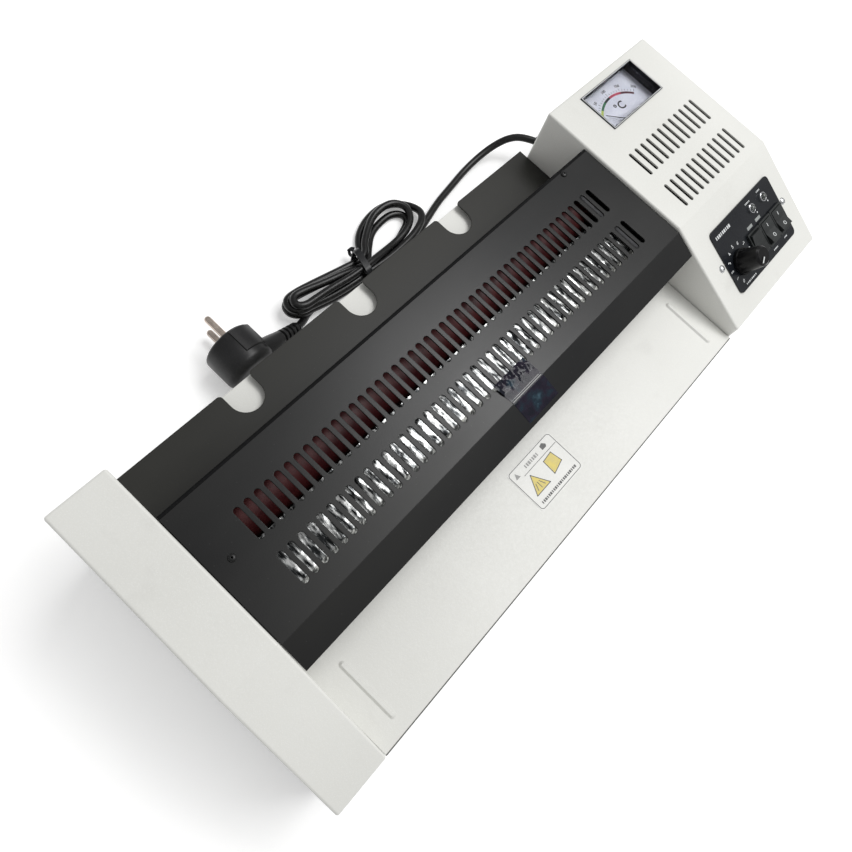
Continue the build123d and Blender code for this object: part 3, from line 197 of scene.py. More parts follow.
class Finish:
    """A procedural material whose nodes are added step by step."""

    def __init__(self, name):
        self.material = bpy.data.materials.new(name)
        self.material.use_nodes = True
        self.tree = self.material.node_tree
        self.shader = self.tree.nodes["Principled BSDF"]
        coordinates = self.tree.nodes.new("ShaderNodeTexCoord")
        self.place = coordinates.outputs["Object"]

    def node(self, kind, **settings):
        node = self.tree.nodes.new(kind)
        for key, value in settings.items():
            setattr(node, key, value)
        return node

    def link(self, start, end):
        self.tree.links.new(start, end)

    def stretched(self, stretch):
        mapping = self.node("ShaderNodeMapping")
        mapping.inputs["Scale"].default_value = stretch
        self.link(self.place, mapping.inputs["Vector"])
        return mapping.outputs["Vector"]

    def noise(self, scale, detail=3.0, stretch=(1, 1, 1)):
        noise = self.node("ShaderNodeTexNoise")
        noise.inputs["Scale"].default_value = scale
        noise.inputs["Detail"].default_value = detail
        self.link(self.stretched(stretch), noise.inputs["Vector"])
        return noise.outputs["Fac"]

    def cells(self, scale):
        cells = self.node("ShaderNodeTexVoronoi")
        cells.inputs["Scale"].default_value = scale
        self.link(self.place, cells.inputs["Vector"])
        return cells

    def ramp(self, value, stops):
        ramp = self.node("ShaderNodeValToRGB")
        steps = ramp.color_ramp.elements
        while len(steps) < len(stops):
            steps.new(1.0)
        for step, (position, colour) in zip(steps, stops):
            step.position = position
            step.color = (*colour, 1.0)
        self.link(value, ramp.inputs["Fac"])
        return ramp.outputs["Color"]

    def mix(self, share, first, second, blend="MIX"):
        mix = self.node("ShaderNodeMix", data_type="RGBA", blend_type=blend)
        self.put(mix.inputs["Factor"], share)
        self.put(mix.inputs[6], first)
        self.put(mix.inputs[7], second)
        return mix.outputs[2]

    def put(self, socket, value):
        if isinstance(value, bpy.types.NodeSocket):
            self.link(value, socket)
        elif isinstance(value, tuple):
            socket.default_value = (*value, 1.0)
        else:
            socket.default_value = value

    def levels(self, value, low, high, start=0.3, end=0.7):
        spread = self.node("ShaderNodeMapRange")
        spread.inputs["From Min"].default_value = start
        spread.inputs["From Max"].default_value = end
        spread.inputs["To Min"].default_value = low
        spread.inputs["To Max"].default_value = high
        self.link(value, spread.inputs["Value"])
        return spread.outputs["Result"]

    def relief(self, height, depth, round_edge):
        bump = self.node("ShaderNodeBump")
        bump.inputs["Strength"].default_value = 1.0
        bump.inputs["Distance"].default_value = depth
        self.link(height, bump.inputs["Height"])
        if round_edge:
            bevel = self.node("ShaderNodeBevel", samples=4)
            bevel.inputs["Radius"].default_value = round_edge
            self.link(bevel.outputs["Normal"], bump.inputs["Normal"])
        self.link(bump.outputs["Normal"], self.shader.inputs["Normal"])

    def sockets(self, **values):
        for key, value in values.items():
            self.put(self.shader.inputs[key.replace("_", " ")], value)


def surface(
    name, dark, light, patch=12.0, grain=900.0, speck=None, speck_share=0.3,
    roughness=(0.4, 0.5), depth=0.00003, metallic=0.0, round_edge=0.0003,
    stretch=(1, 1, 1), **extra,
):
    """Two tones in patches, fine specks, uneven gloss and a fine grain."""
    finish = Finish(name)
    patches = finish.noise(patch, 4.0, stretch)
    grains = finish.noise(grain, 2.0, stretch)
    colour = finish.ramp(patches, ((0.35, dark), (0.65, light)))
    if speck:
        share = finish.levels(grains, 0.0, speck_share, 0.52, 0.72)
        colour = finish.mix(share, colour, speck)
    finish.link(colour, finish.shader.inputs["Base Color"])
    finish.link(finish.levels(patches, *roughness), finish.shader.inputs["Roughness"])
    finish.relief(grains, depth, round_edge)
    finish.sockets(Metallic=metallic, **extra)
    return finish.material


def powder_coat():
    """Warm white powder coat: orange peel, faint dirt and a fine sparkle."""
    finish = Finish("white_powder_coat")
    patches = finish.noise(7.0, 5.0)
    peel = finish.noise(620.0, 2.0)
    specks = finish.cells(1500.0).outputs["Distance"]
    colour = finish.ramp(patches, ((0.3, (0.69, 0.69, 0.655)), (0.7, (0.77, 0.77, 0.735))))
    light = finish.levels(specks, 0.35, 0.0, 0.12, 0.35)
    colour = finish.mix(light, colour, (0.9, 0.9, 0.88))
    dirt = finish.levels(finish.noise(45.0, 6.0), 0.0, 0.3, 0.62, 0.85)
    colour = finish.mix(dirt, colour, (0.5, 0.49, 0.46))
    finish.link(colour, finish.shader.inputs["Base Color"])
    finish.link(finish.levels(peel, 0.36, 0.5), finish.shader.inputs["Roughness"])
    finish.relief(peel, 0.00005, 0.0006)
    finish.sockets(Specular_IOR_Level=0.45)
    return finish.material


def satin_black(name, dark, light, roughness):
    """Black stove enamel: soft clouds of handling marks and pale dust."""
    finish = Finish(name)
    clouds = finish.noise(9.0, 5.0, (0.6, 1.5, 1.5))
    dust = finish.cells(300.0).outputs["Distance"]
    grain = finish.noise(1400.0, 2.0)
    colour = finish.ramp(clouds, ((0.3, dark), (0.72, light)))
    specks = finish.levels(dust, 0.4, 0.0, 0.02, 0.07)
    colour = finish.mix(specks, colour, (0.1, 0.1, 0.095))
    finish.link(colour, finish.shader.inputs["Base Color"])
    finish.link(finish.levels(clouds, *roughness), finish.shader.inputs["Roughness"])
    finish.relief(grain, 0.00002, 0.0006)
    finish.sockets(Specular_IOR_Level=0.32)
    return finish.material


def rolled_steel(name, dark, light, roughness, scale):
    """Galvanised or bare sheet: crystal patches with a rolling direction."""
    finish = Finish(name)
    crystals = finish.cells(scale)
    streaks = finish.noise(60.0, 4.0, (0.2, 6.0, 6.0))
    shade = finish.mix(0.45, crystals.outputs["Color"], streaks)
    colour = finish.ramp(shade, ((0.25, dark), (0.75, light)))
    finish.link(colour, finish.shader.inputs["Base Color"])
    finish.link(finish.levels(shade, *roughness), finish.shader.inputs["Roughness"])
    finish.relief(streaks, 0.00002, 0.0003)
    finish.sockets(Metallic=1.0)
    return finish.material


def hammered_reflector():
    """Bright dimpled aluminium under the front slots; its base colour runs from near black to
    near white in mottles, painted reflections and shade of crumpled foil.
    """
    finish = Finish("hammered_reflector")
    reflection_mottle = finish.noise(280.0, 4.0, (2.0, 0.5, 1.0))
    flecks = finish.cells(260.0)
    # Near-black to near-white mottles in the base colour: painted reflections and shade; the
    # yellow tint below is real tarnish.
    colour = finish.ramp(
        reflection_mottle, ((0.4, (0.03, 0.032, 0.034)), (0.5, (0.3, 0.31, 0.31)), (0.61, (0.9, 0.91, 0.9)))
    )
    tint = finish.levels(finish.noise(5.0, 2.0), 0.0, 0.5, 0.5, 0.75)
    colour = finish.mix(tint, colour, (0.3, 0.31, 0.17), "MULTIPLY")
    finish.link(colour, finish.shader.inputs["Base Color"])
    finish.link(finish.levels(reflection_mottle, 0.2, 0.42), finish.shader.inputs["Roughness"])
    finish.relief(flecks.outputs["Distance"], 0.0004, 0.0)
    finish.sockets(Metallic=0.85)
    return finish.material


def etched_board():
    """Green circuit board with lighter copper tracks under its lacquer."""
    finish = Finish("etched_board")
    tracks = finish.node("ShaderNodeTexBrick")
    tracks.inputs["Scale"].default_value = 260.0
    tracks.inputs["Mortar Size"].default_value = 0.06
    tracks.inputs["Color1"].default_value = (0.01, 0.09, 0.035, 1)
    tracks.inputs["Color2"].default_value = (0.012, 0.12, 0.045, 1)
    tracks.inputs["Mortar"].default_value = (0.05, 0.26, 0.1, 1)
    finish.link(finish.place, tracks.inputs["Vector"])
    finish.link(tracks.outputs["Color"], finish.shader.inputs["Base Color"])
    grain = finish.noise(300.0)
    finish.link(finish.levels(grain, 0.25, 0.4), finish.shader.inputs["Roughness"])
    finish.relief(tracks.outputs["Fac"], 0.00005, 0.0)
    return finish.material


def clear_pane(name, tint, roughness):
    """Transparent sheet with a trace of dust."""
    finish = Finish(name)
    dust = finish.noise(500.0, 3.0)
    finish.link(finish.levels(dust, *roughness), finish.shader.inputs["Roughness"])
    colour = finish.ramp(dust, ((0.4, tint), (0.8, (1.0, 1.0, 1.0))))
    finish.link(colour, finish.shader.inputs["Base Color"])
    finish.relief(dust, 0.000004, 0.0)
    finish.sockets(Transmission_Weight=1.0, IOR=1.1)
    return finish.material


def plain_black(name, tone, roughness, grain=900.0, depth=0.00003, **extra):
    dark = tuple(0.75 * part for part in tone)
    light = tuple(1.35 * part for part in tone)
    dust = tuple(min(1.0, 3.0 * part + 0.01) for part in tone)
    extra.setdefault("Specular_IOR_Level", 0.35)
    return surface(
        name, dark, light, 60.0, grain, dust, 0.25, roughness, depth, **extra
    )


def ink(name, tone):
    worn = tuple(0.8 * part for part in tone)
    return surface(name, worn, tone, 400.0, 3000.0, None, 0.0, (0.35, 0.5), 0.00001,
                   round_edge=0.0)


WHITE_INK = ink("white_ink", (0.72, 0.74, 0.74))
GREY_INK = ink("grey_ink", (0.33, 0.35, 0.34))
BLACK_INK = ink("black_ink", (0.02, 0.02, 0.022))
GREEN_INK = ink("green_ink", (0.03, 0.16, 0.07))
LIME_INK = ink("lime_ink", (0.5, 0.62, 0.12))
RED_INK = ink("red_ink", (0.62, 0.08, 0.13))
MAROON_INK = ink("maroon_ink", (0.1, 0.02, 0.03))
YELLOW_INK = ink("yellow_ink", (0.74, 0.6, 0.13))
LINE_INK = ink("line_ink", (0.06, 0.06, 0.058))
PALE_INK = ink("pale_ink", (0.3, 0.3, 0.29))
# Dark grey ink: painted shade along the feed tray's front fold.
EDGE_SHADE_INK = ink("tray_edge_painted_shade", (0.13, 0.13, 0.12))

CHROME = surface(
    "chrome", (0.62, 0.63, 0.65), (0.8, 0.81, 0.83), 90.0, 900.0, None, 0.0,
    (0.08, 0.2), 0.000005, 1.0, 0.0002,
)
ROCKER_BLACK = plain_black("rocker_black", (0.017, 0.019, 0.019), (0.3, 0.4))
CORD_BLACK = plain_black("cord_jacket", (0.004, 0.004, 0.0042), (0.24, 0.34), 700.0, 0.00004)
PLUG_BLACK = plain_black("plug_black", (0.008, 0.008, 0.0085), (0.3, 0.42), 1100.0, 0.00004)
TIE_BLACK = plain_black("tie_black", (0.004, 0.0045, 0.006), (0.3, 0.4), 500.0, 0.00002)
# Near-black matte paint for the strip along the cover's rear edge: painted shade where the edge
# hides a shadow gap.
HEM_SHADE_BLACK = plain_black(
    "hem_painted_shade", (0.0025, 0.0026, 0.0028), (0.6, 0.75), Specular_IOR_Level=0.12
)
NICKEL = surface(
    "nickel_plate", (0.42, 0.36, 0.32), (0.66, 0.57, 0.5), 120.0, 1500.0,
    (0.25, 0.2, 0.17), 0.3, (0.14, 0.28), 0.00001, 1.0, 0.0002,
)

SLOT_FINISHES = {
    "white_casing": powder_coat(),
    "black_casing": satin_black(
        "satin_black", (0.0055, 0.0058, 0.0062), (0.012, 0.0118, 0.011), (0.3, 0.42)
    ),
    "dark_tray": satin_black(
        "brown_black_tray", (0.012, 0.0122, 0.0105), (0.024, 0.0235, 0.02), (0.34, 0.46)
    ),
    "dark_steel": rolled_steel(
        "dark_steel", (0.03, 0.03, 0.032), (0.075, 0.075, 0.078), (0.4, 0.6), 160.0
    ),
    "spring_steel": rolled_steel(
        "spring_steel", (0.2, 0.19, 0.18), (0.42, 0.4, 0.37), (0.25, 0.4), 500.0
    ),
    "roller_rubber": surface(
        "silicone_rubber", (0.045, 0.006, 0.008), (0.085, 0.012, 0.013), 30.0, 800.0,
        (0.2, 0.06, 0.05), 0.3, (0.42, 0.6), 0.00005, stretch=(1, 4, 4),
        Specular_IOR_Level=0.35,
    ),
    "roller_core": rolled_steel(
        "turned_aluminium", (0.5, 0.5, 0.51), (0.75, 0.75, 0.76), (0.2, 0.35), 700.0
    ),
    "shaft_steel": rolled_steel(
        "ground_steel", (0.4, 0.4, 0.41), (0.62, 0.62, 0.63), (0.16, 0.3), 900.0
    ),
    "gear_plastic": surface(
        "nylon", (0.62, 0.6, 0.53), (0.74, 0.72, 0.64), 40.0, 600.0, (0.5, 0.46, 0.38),
        0.25, (0.38, 0.5), Subsurface_Weight=0.15, Subsurface_Scale=0.002,
    ),
    "bearing_plastic": surface(
        "bearing_plastic", (0.1, 0.045, 0.02), (0.17, 0.08, 0.035), 70.0, 700.0,
        (0.3, 0.18, 0.1), 0.25, (0.4, 0.55),
    ),
    "bright_reflector": hammered_reflector(),
    "heater_glass": surface(
        "quartz_tube", (0.8, 0.78, 0.72), (0.95, 0.93, 0.9), 40.0, 800.0, (0.6, 0.5, 0.4),
        0.3, (0.1, 0.3), 0.00002, Transmission_Weight=0.6, IOR=1.45,
    ),
    "ceramic": surface(
        "ceramic", (0.7, 0.66, 0.58), (0.82, 0.79, 0.72), 50.0, 500.0, (0.4, 0.32, 0.25),
        0.4, (0.5, 0.7), 0.00006,
    ),
    "motor_metal": rolled_steel(
        "motor_can", (0.3, 0.31, 0.32), (0.6, 0.6, 0.6), (0.28, 0.42), 300.0
    ),
    "circuit_board": etched_board(),
    "board_components": surface(
        "component_plastic", (0.02, 0.03, 0.07), (0.05, 0.09, 0.2), 60.0, 900.0,
        (0.3, 0.3, 0.32), 0.2, (0.3, 0.5),
    ),
    "panel_black": surface(
        "panel_gloss", (0.0058, 0.007, 0.0095), (0.011, 0.0125, 0.016), 25.0, 1200.0,
        (0.03, 0.033, 0.036), 0.3, (0.16, 0.3), 0.000008, Specular_IOR_Level=0.3,
        Coat_Weight=0.1, Coat_Roughness=0.12,
    ),
    "switch_black": ROCKER_BLACK,
    "knob_black": plain_black(
        "knob_black", (0.0035, 0.0035, 0.004), (0.26, 0.36), Specular_IOR_Level=0.22
    ),
    "lamp_lens": surface(
        "lamp_lens", (0.03, 0.035, 0.035), (0.12, 0.13, 0.125), 300.0, 1200.0,
        (0.4, 0.42, 0.4), 0.4, (0.08, 0.2), 0.00002, Transmission_Weight=0.3, IOR=1.49,
    ),
    "screw_metal": rolled_steel(
        "screw_zinc", (0.5, 0.51, 0.52), (0.82, 0.83, 0.83), (0.16, 0.32), 800.0
    ),
    "meter_black": plain_black("meter_black", (0.016, 0.017, 0.022), (0.25, 0.4)),
    "dial_print": surface(
        "dial_card", (0.67, 0.68, 0.75), (0.78, 0.79, 0.85), 60.0, 1500.0, (0.5, 0.5, 0.6),
        0.3, (0.5, 0.65), 0.00001, round_edge=0.0,
    ),
    "clear_window": clear_pane("clear_window", (0.93, 0.94, 0.97), (0.02, 0.07)),
    "needle_paint": surface(
        "needle_black", (0.02, 0.02, 0.022), (0.045, 0.045, 0.048), 300.0, 2000.0,
        (0.2, 0.2, 0.2), 0.2, (0.35, 0.5), 0.00001,
    ),
    "label_print": surface(
        "label_film", (0.66, 0.66, 0.63), (0.76, 0.76, 0.73), 70.0, 900.0, (0.86, 0.86, 0.85),
        0.3, (0.28, 0.42), 0.00001, round_edge=0.0,
    ),
    "foot_rubber": plain_black("foot_rubber", (0.015, 0.015, 0.016), (0.6, 0.8), 600.0),
    "cord_jacket": CORD_BLACK,
    "tie_plastic": TIE_BLACK,
    "plug_plastic": PLUG_BLACK,
    "plug_metal": NICKEL,
}

SLOT_NODES = {
    "white_casing": "left_end_cover right_end_cover feed_tray rear_base_panel",
    "black_casing": "top_cover",
    "dark_tray": "exit_tray guide_plate",
    "dark_steel": "base_pan left_side_frame right_side_frame motor_bracket",
    "spring_steel": "hot_springs pull_springs",
    "roller_rubber": "lower_hot_sleeve upper_hot_sleeve lower_pull_sleeve upper_pull_sleeve",
    "roller_core": "lower_hot_core upper_hot_core",
    "shaft_steel": "lower_pull_shaft upper_pull_shaft",
    "gear_plastic": "lower_hot_gear upper_hot_gear lower_pull_gear upper_pull_gear "
                    "idler_gear motor_pinion",
    "bearing_plastic": "lower_bearings upper_hot_blocks upper_pull_blocks",
    "bright_reflector": "upper_reflector lower_reflector",
    "heater_glass": "heater_tubes",
    "ceramic": "heater_holders",
    "motor_metal": "gear_motor thermal_cutout",
    "circuit_board": "control_board",
    "board_components": "board_parts temperature_pot",
    "panel_black": "control_panel",
    "switch_black": "switch_housings direction_rocker heat_rocker power_rocker",
    "knob_black": "temperature_knob",
    "lamp_lens": "indicator_lamps",
    "screw_metal": "screws",
    "meter_black": "meter_housing",
    "dial_print": "meter_dial",
    "clear_window": "meter_window",
    "needle_paint": "meter_needle",
    "label_print": "tray_label",
    "foot_rubber": "rubber_feet",
    "cord_jacket": "cord_lead cord_hank cord_tail cord_gland",
    "tie_plastic": "cord_tie",
    "plug_plastic": "plug_body",
    "plug_metal": "plug_pins",
}

for slot_name, node_names in SLOT_NODES.items():
    for node_name in node_names.split():
        mesh = nodes[node_name].data
        mesh.materials.clear()
        mesh.materials.append(SLOT_FINISHES[slot_name])


# ---------------------------------------------------------------- mesh helpers


def add_piece(name, data, material, body):
    piece = bpy.data.objects.new(name, data)
    SCENE.collection.objects.link(piece)
    data.materials.append(material)
    if body:
        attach(piece, body)
    return piece


def finish_mesh(name, mesh, smooth_angle=None):
    bmesh.ops.recalc_face_normals(mesh, faces=mesh.faces)
    data = bpy.data.meshes.new(name)
    mesh.to_mesh(data)
    mesh.free()
    if smooth_angle is not None:
        data.shade_smooth()
        data.set_sharp_from_angle(angle=math.radians(smooth_angle))
    return data


def merge(mesh, part):
    """Moves the faces of a part into a larger mesh."""
    data = finish_mesh("part", part)
    mesh.from_mesh(data)
    bpy.data.meshes.remove(data)


def level_place(x, y, z):
    return TO_METRES @ Matrix.Translation((x, y, z))


def slope_place(across=0.0, up_slope=0.0, height=0.0):
    """Flat coordinates on the slope: across, up the slope, and out of it."""
    turn = Matrix.Rotation(SLOPE_ANGLE, 4, "X")
    offset = Matrix.Translation((across, up_slope, height))
    return TO_METRES @ Matrix.Translation(BEND_PLACE) @ turn @ offset


def aimed_place(start, direction):
    """Local Z points along direction."""
    turn = Vector(direction).to_track_quat("Z", "Y").to_matrix().to_4x4()
    return TO_METRES @ Matrix.Translation(start) @ turn


def join_rings(mesh, rings, close_ends=True):
    """Skin over rings of the same number of points."""
    for lower, upper in zip(rings, rings[1:]):
        count = len(lower)
        for i in range(count):
            after = (i + 1) % count
            mesh.faces.new((lower[i], lower[after], upper[after], upper[i]))
    if close_ends:
        mesh.faces.new(rings[0])
        mesh.faces.new(rings[-1])


def turned(profile, place, steps=48):
    """A solid turned from (radius, height) pairs about the local Z axis."""
    mesh = bmesh.new()
    rings = []
    for radius, height in profile:
        ring = []
        for i in range(steps):
            angle = 2 * math.pi * i / steps
            corner = Vector((radius * math.cos(angle), radius * math.sin(angle), height))
            ring.append(mesh.verts.new(place @ corner))
        rings.append(ring)
    join_rings(mesh, rings)
    return mesh


def lofted(sections, steps=32):
    """A solid through oval sections: middle, direction, half width, half height."""
    mesh = bmesh.new()
    rings = []
    for middle, direction, half_width, half_height in sections:
        forward = Vector(direction).normalized()
        side = forward.cross(Vector((0, 0, 1))).normalized()
        rise = side.cross(forward)
        ring = []
        for i in range(steps):
            angle = 2 * math.pi * i / steps
            across = side * (half_width * math.cos(angle))
            up = rise * (half_height * math.sin(angle))
            ring.append(mesh.verts.new((Vector(middle) + across + up) * MM))
        rings.append(ring)
    join_rings(mesh, rings)
    return mesh


class Print:
    """Thin flat shapes of one ink, gathered into one mesh. Sizes in millimetres."""

    def __init__(self, place, thickness=0.06):
        self.place = place
        self.thickness = thickness
        self.mesh = bmesh.new()

    def plate(self, points):
        low = [self.mesh.verts.new(self.place @ Vector((x, y, 0.0))) for x, y in points]
        top = self.thickness
        high = [self.mesh.verts.new(self.place @ Vector((x, y, top))) for x, y in points]
        join_rings(self.mesh, [low, high])

    def bar(self, x, y, width, height, turn=0.0):
        cos, sin = math.cos(math.radians(turn)), math.sin(math.radians(turn))
        corners = ((-1, -1), (1, -1), (1, 1), (-1, 1))
        points = []
        for side, end in corners:
            across, up = side * width / 2, end * height / 2
            points.append((x + across * cos - up * sin, y + across * sin + up * cos))
        self.plate(points)

    def arc(self, x, y, inner, outer, start, end):
        """A band between two radii, from one angle to another, in degrees."""
        steps = max(2, round(abs(end - start) / 6))
        for i in range(steps):
            first = math.radians(start + (end - start) * i / steps)
            last = math.radians(start + (end - start) * (i + 1) / steps)
            corners = ((inner, first), (outer, first), (outer, last), (inner, last))
            self.plate([(x + r * math.cos(a), y + r * math.sin(a)) for r, a in corners])

    def words(self, text, x, y, size, turn=0.0, bold=0.05):
        curve = bpy.data.curves.new("words", "FONT")
        curve.body = text
        curve.offset = bold
        curve.size = size
        curve.align_x = "CENTER"
        curve.align_y = "CENTER"
        curve.resolution_u = 3
        curve.extrude = self.thickness / 2
        holder = bpy.data.objects.new("words", curve)
        data = bpy.data.meshes.new_from_object(holder)
        spin = Matrix.Rotation(math.radians(turn), 4, "Z")
        data.transform(self.place @ Matrix.Translation((x, y, self.thickness / 2)) @ spin)
        self.mesh.from_mesh(data)
        bpy.data.meshes.remove(data)
        bpy.data.objects.remove(holder)
        bpy.data.curves.remove(curve)

    def done(self, name, material, body="root"):
        data = finish_mesh(name, self.mesh)
        return add_piece(name, data, material, body)


# ---------------------------------------------------------------- mains lead


def make_cord():
    route = (LEAD_POINTS + FIRST_RUN + OUTER_LOOP + SECOND_RUN + TOP_LOOP
             + THIRD_RUN + INNER_LOOP + LAST_RUN)
    curve = bpy.data.curves.new("mains_cord", "CURVE")
    curve.dimensions = "3D"
    curve.bevel_depth = CORD_DIAMETER / 2 * MM
    curve.bevel_resolution = 5
    curve.resolution_u = 6
    spline = curve.splines.new("NURBS")
    spline.points.add(len(route) - 1)
    for point, place in zip(spline.points, route):
        point.co = (*(Vector(place) * MM), 1.0)
    spline.order_u = 3
    spline.use_endpoint_u = True
    return add_piece("mains_cord", curve, CORD_BLACK, "root")


def make_boot():
    """Grommet in the rear wall and its ribbed, tapered boot."""
    swing, drop = math.radians(BOOT_SWING), math.radians(BOOT_DROP)
    direction = (-math.sin(swing), math.cos(swing), -math.sin(drop))
    grommet = [(5.0, -6.0), (6.0, -5.6), (6.0, 0.0), (8.0, 0.0), (8.0, 1.6), (7.2, 2.4),
               (5.4, 2.4)]
    mesh = turned(grommet, aimed_place(BOOT_PLACE, (0, 1, 0)))
    profile = [(5.4, 0.5)]
    for rib in range(BOOT_RIBS):
        start = 3.0 + BOOT_RIB_PITCH * rib
        radius = 5.6 - 0.3 * rib
        profile += [(radius, start), (radius, start + 2.0), (radius - 0.9, start + 2.3),
                    (radius - 0.9, start + 3.4)]
    profile += [(4.0, 21.4), (3.4, 22.0)]
    merge(mesh, turned(profile, aimed_place(BOOT_PLACE, direction)))
    piece = add_piece(
        "cord_boot", finish_mesh("cord_boot", mesh, 35), PLUG_BLACK, "root"
    )
    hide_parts("cord_gland")
    return piece


def rounded_loop(half_width, half_height, corner, steps=6):
    """Points round a rectangle with round corners."""
    points = []
    for quarter, (side, end) in enumerate(((1, 1), (-1, 1), (-1, -1), (1, -1))):
        for i in range(steps + 1):
            angle = math.pi / 2 * (quarter + i / steps)
            x = side * (half_width - corner) + corner * math.cos(angle)
            z = end * (half_height - corner) + corner * math.sin(angle)
            points.append((x, z))
    return points


def tie_band():
    """Flat plastic band round the hank, a little aslant."""
    mesh = bmesh.new()
    middle = Vector(TIE_MIDDLE)
    half_y, half_z = TIE_HALF_SIZE
    outline = rounded_loop(half_y, half_z, TIE_CORNER)
    inner = rounded_loop(
        half_y - TIE_THICKNESS, half_z - TIE_THICKNESS, TIE_CORNER - TIE_THICKNESS
    )
    rings = []
    for (y, z), (inner_y, inner_z) in zip(outline, inner):
        corners = ((-TIE_HALF_WIDTH, y, z), (TIE_HALF_WIDTH, y, z),
                   (TIE_HALF_WIDTH, inner_y, inner_z), (-TIE_HALF_WIDTH, inner_y, inner_z))
        ring = []
        for x, across, up in corners:
            place = middle + Vector((x + TIE_LEAN * across, across, up))
            ring.append(mesh.verts.new(place * MM))
        rings.append(ring)
    rings.append(rings[0])
    join_rings(mesh, rings, close_ends=False)
    return mesh


def tie_knot():
    """The tie's twisted ends: a wire wound a little more than once."""
    sections = []
    for step in range(23):
        angle = 2 * math.pi * step / 18
        across = Vector((0.55 * math.sin(angle), math.cos(angle), 0.8 * math.sin(angle)))
        ahead = Vector((0.55 * math.cos(angle), -math.sin(angle), 0.8 * math.cos(angle)))
        place = Vector(KNOT_MIDDLE) + KNOT_RADIUS * across + Vector((0.09 * step, 0, 0))
        sections.append((place, ahead, KNOT_WIRE, KNOT_WIRE))
    return lofted(sections, 12)


def make_tie():
    mesh = tie_band()
    merge(mesh, tie_knot())
    piece = add_piece(
        "twist_tie", finish_mesh("twist_tie", mesh, 50), TIE_BLACK, "root"
    )
    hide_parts("cord_tie")
    return piece


def make_plug():
    """Angled two-pin plug: a thick disc, a neck to one side and a ribbed strain relief."""
    radius, depth = PLUG_RADIUS, PLUG_DEPTH
    disc = [(radius - 7.0, 0.0), (radius - 3.0, 0.5), (radius - 0.8, 2.4), (radius, 5.0),
            (radius, depth - 2.0), (radius - 0.5, depth - 0.7), (radius - 1.6, depth),
            (radius - 3.4, depth), (radius - 3.9, depth - 1.2), (radius - 6.0, depth - 1.2)]
    mesh = turned(disc, aimed_place(PLUG_MIDDLE, (0, 1, 0)), 72)
    for part in (make_plug_neck(), make_plug_relief(), make_grip()):
        merge(mesh, part)
    piece = add_piece(
        "mains_plug", finish_mesh("mains_plug", mesh, 40), PLUG_BLACK, "root"
    )
    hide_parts("plug_body")
    return piece


def make_plug_neck():
    sections = [
        ((-108.0, 120.0, 18.6), (1, 0, 0), 7.6, 15.0),
        ((-98.0, 119.8, 18.6), (1, 0, 0), 7.6, 14.0),
        ((-90.5, 119.8, 18.3), (1, 0, -0.06), 7.2, 10.6),
        ((-85.0, 119.9, 17.9), (1, 0, -0.12), 6.5, 7.8),
        ((-80.0, 120.0, 17.0), (1, 0, -0.25), 5.6, 6.0),
        ((-77.0, 120.1, 16.1), (1, 0, -0.33), 5.0, 5.2),
    ]
    return lofted(sections)


def make_plug_relief():
    start, end = Vector(RELIEF_START), Vector(LAST_RUN[-1])
    direction = end - start
    sections = []
    for rib in range(RELIEF_RIBS):
        for share, scale in ((0.0, 1.0), (0.52, 1.0), (0.6, 0.7), (0.92, 0.7)):
            along = (rib + share) / RELIEF_RIBS
            radius = (5.4 - 1.0 * along) * scale
            sections.append((start + direction * along, direction, radius, radius))
    sections.append((end, direction, 3.7, 3.7))
    return lofted(sections)


def make_grip():
    """Raised grip over the half of the disc on the neck's side."""
    mesh = bmesh.new()
    rings = []
    middle_x, _, middle_z = PLUG_MIDDLE
    for y, rise in ((119.4, -0.8), (120.2, 0.9), (136.4, 0.9), (137.4, -0.8)):
        ring = []
        outer = PLUG_RADIUS + rise
        for degrees in range(88, 28, -5):
            angle = math.radians(degrees)
            place = (middle_x + outer * math.cos(angle), y, middle_z + outer * math.sin(angle))
            ring.append(mesh.verts.new(Vector(place) * MM))
        for degrees in range(33, 93, 5):
            angle = math.radians(degrees)
            inner = PLUG_RADIUS - 4.0
            place = (middle_x + inner * math.cos(angle), y, middle_z + inner * math.sin(angle))
            ring.append(mesh.verts.new(Vector(place) * MM))
        rings.append(ring)
    join_rings(mesh, rings)
    return mesh


cord = make_cord()
boot = make_boot()
tie = make_tie()
plug = make_plug()
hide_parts("cord_lead", "cord_hank", "cord_tail")


# ---------------------------------------------------------------- control panel


def caption(ink_print, x, y, width, height, blocks):
    """A row of small blocks where a word would stand."""
    pitch = width / blocks
    for i in range(blocks):
        share = 0.62 + 0.18 * ((i * 7) % 3 - 1)
        centre = x - width / 2 + pitch * (i + 0.5)
        ink_print.bar(centre, y, pitch * share, height)


def make_panel_prints():
    """Generic marks: blocks for captions and numbers round the knob."""
    white = Print(slope_place(height=PANEL_TOP))
    knob_x, knob_y = KNOB_SPOT
    for number in range(11):
        angle = math.radians(236 - 28.0 * number)
        x, y = knob_x + 12.9 * math.cos(angle), knob_y + 12.9 * math.sin(angle)
        white.words(str(number), x, y, 3.6, math.degrees(angle) - 90)
    caption(white, 166.2, -24.0, 19.0, 2.3, 9)
    for x, y, width, blocks in ((201.4, -22.4, 6.6, 5), (217.0, -22.0, 5.0, 4),
                                (169.0, -63.9, 14.0, 8), (206.0, -62.9, 6.4, 4),
                                (220.8, -62.6, 4.0, 3)):
        caption(white, x, y, width, 1.0, blocks)
    for x, y in LAMP_SPOTS:
        white.arc(x + 4.4, y - 5.4, 0.0, 0.6, 0, 360)
    white.done("panel_marks", WHITE_INK)
    grey = Print(slope_place(height=PANEL_TOP))
    for x in (192.2, 203.6):
        grey.bar(x, -36.4, 6.6, 2.2)
    grey.done("panel_captions", GREY_INK)


def make_knob_mark():
    dash = Print(slope_place(*KNOB_SPOT, KNOB_TOP), 0.1)
    angle = math.radians(KNOB_POINTER_ANGLE)
    dash.bar(3.6 * math.cos(angle), 3.6 * math.sin(angle), 4.6, 1.0, KNOB_POINTER_ANGLE)
    dash.done("knob_pointer_mark", WHITE_INK, "temperature_dial_knob")


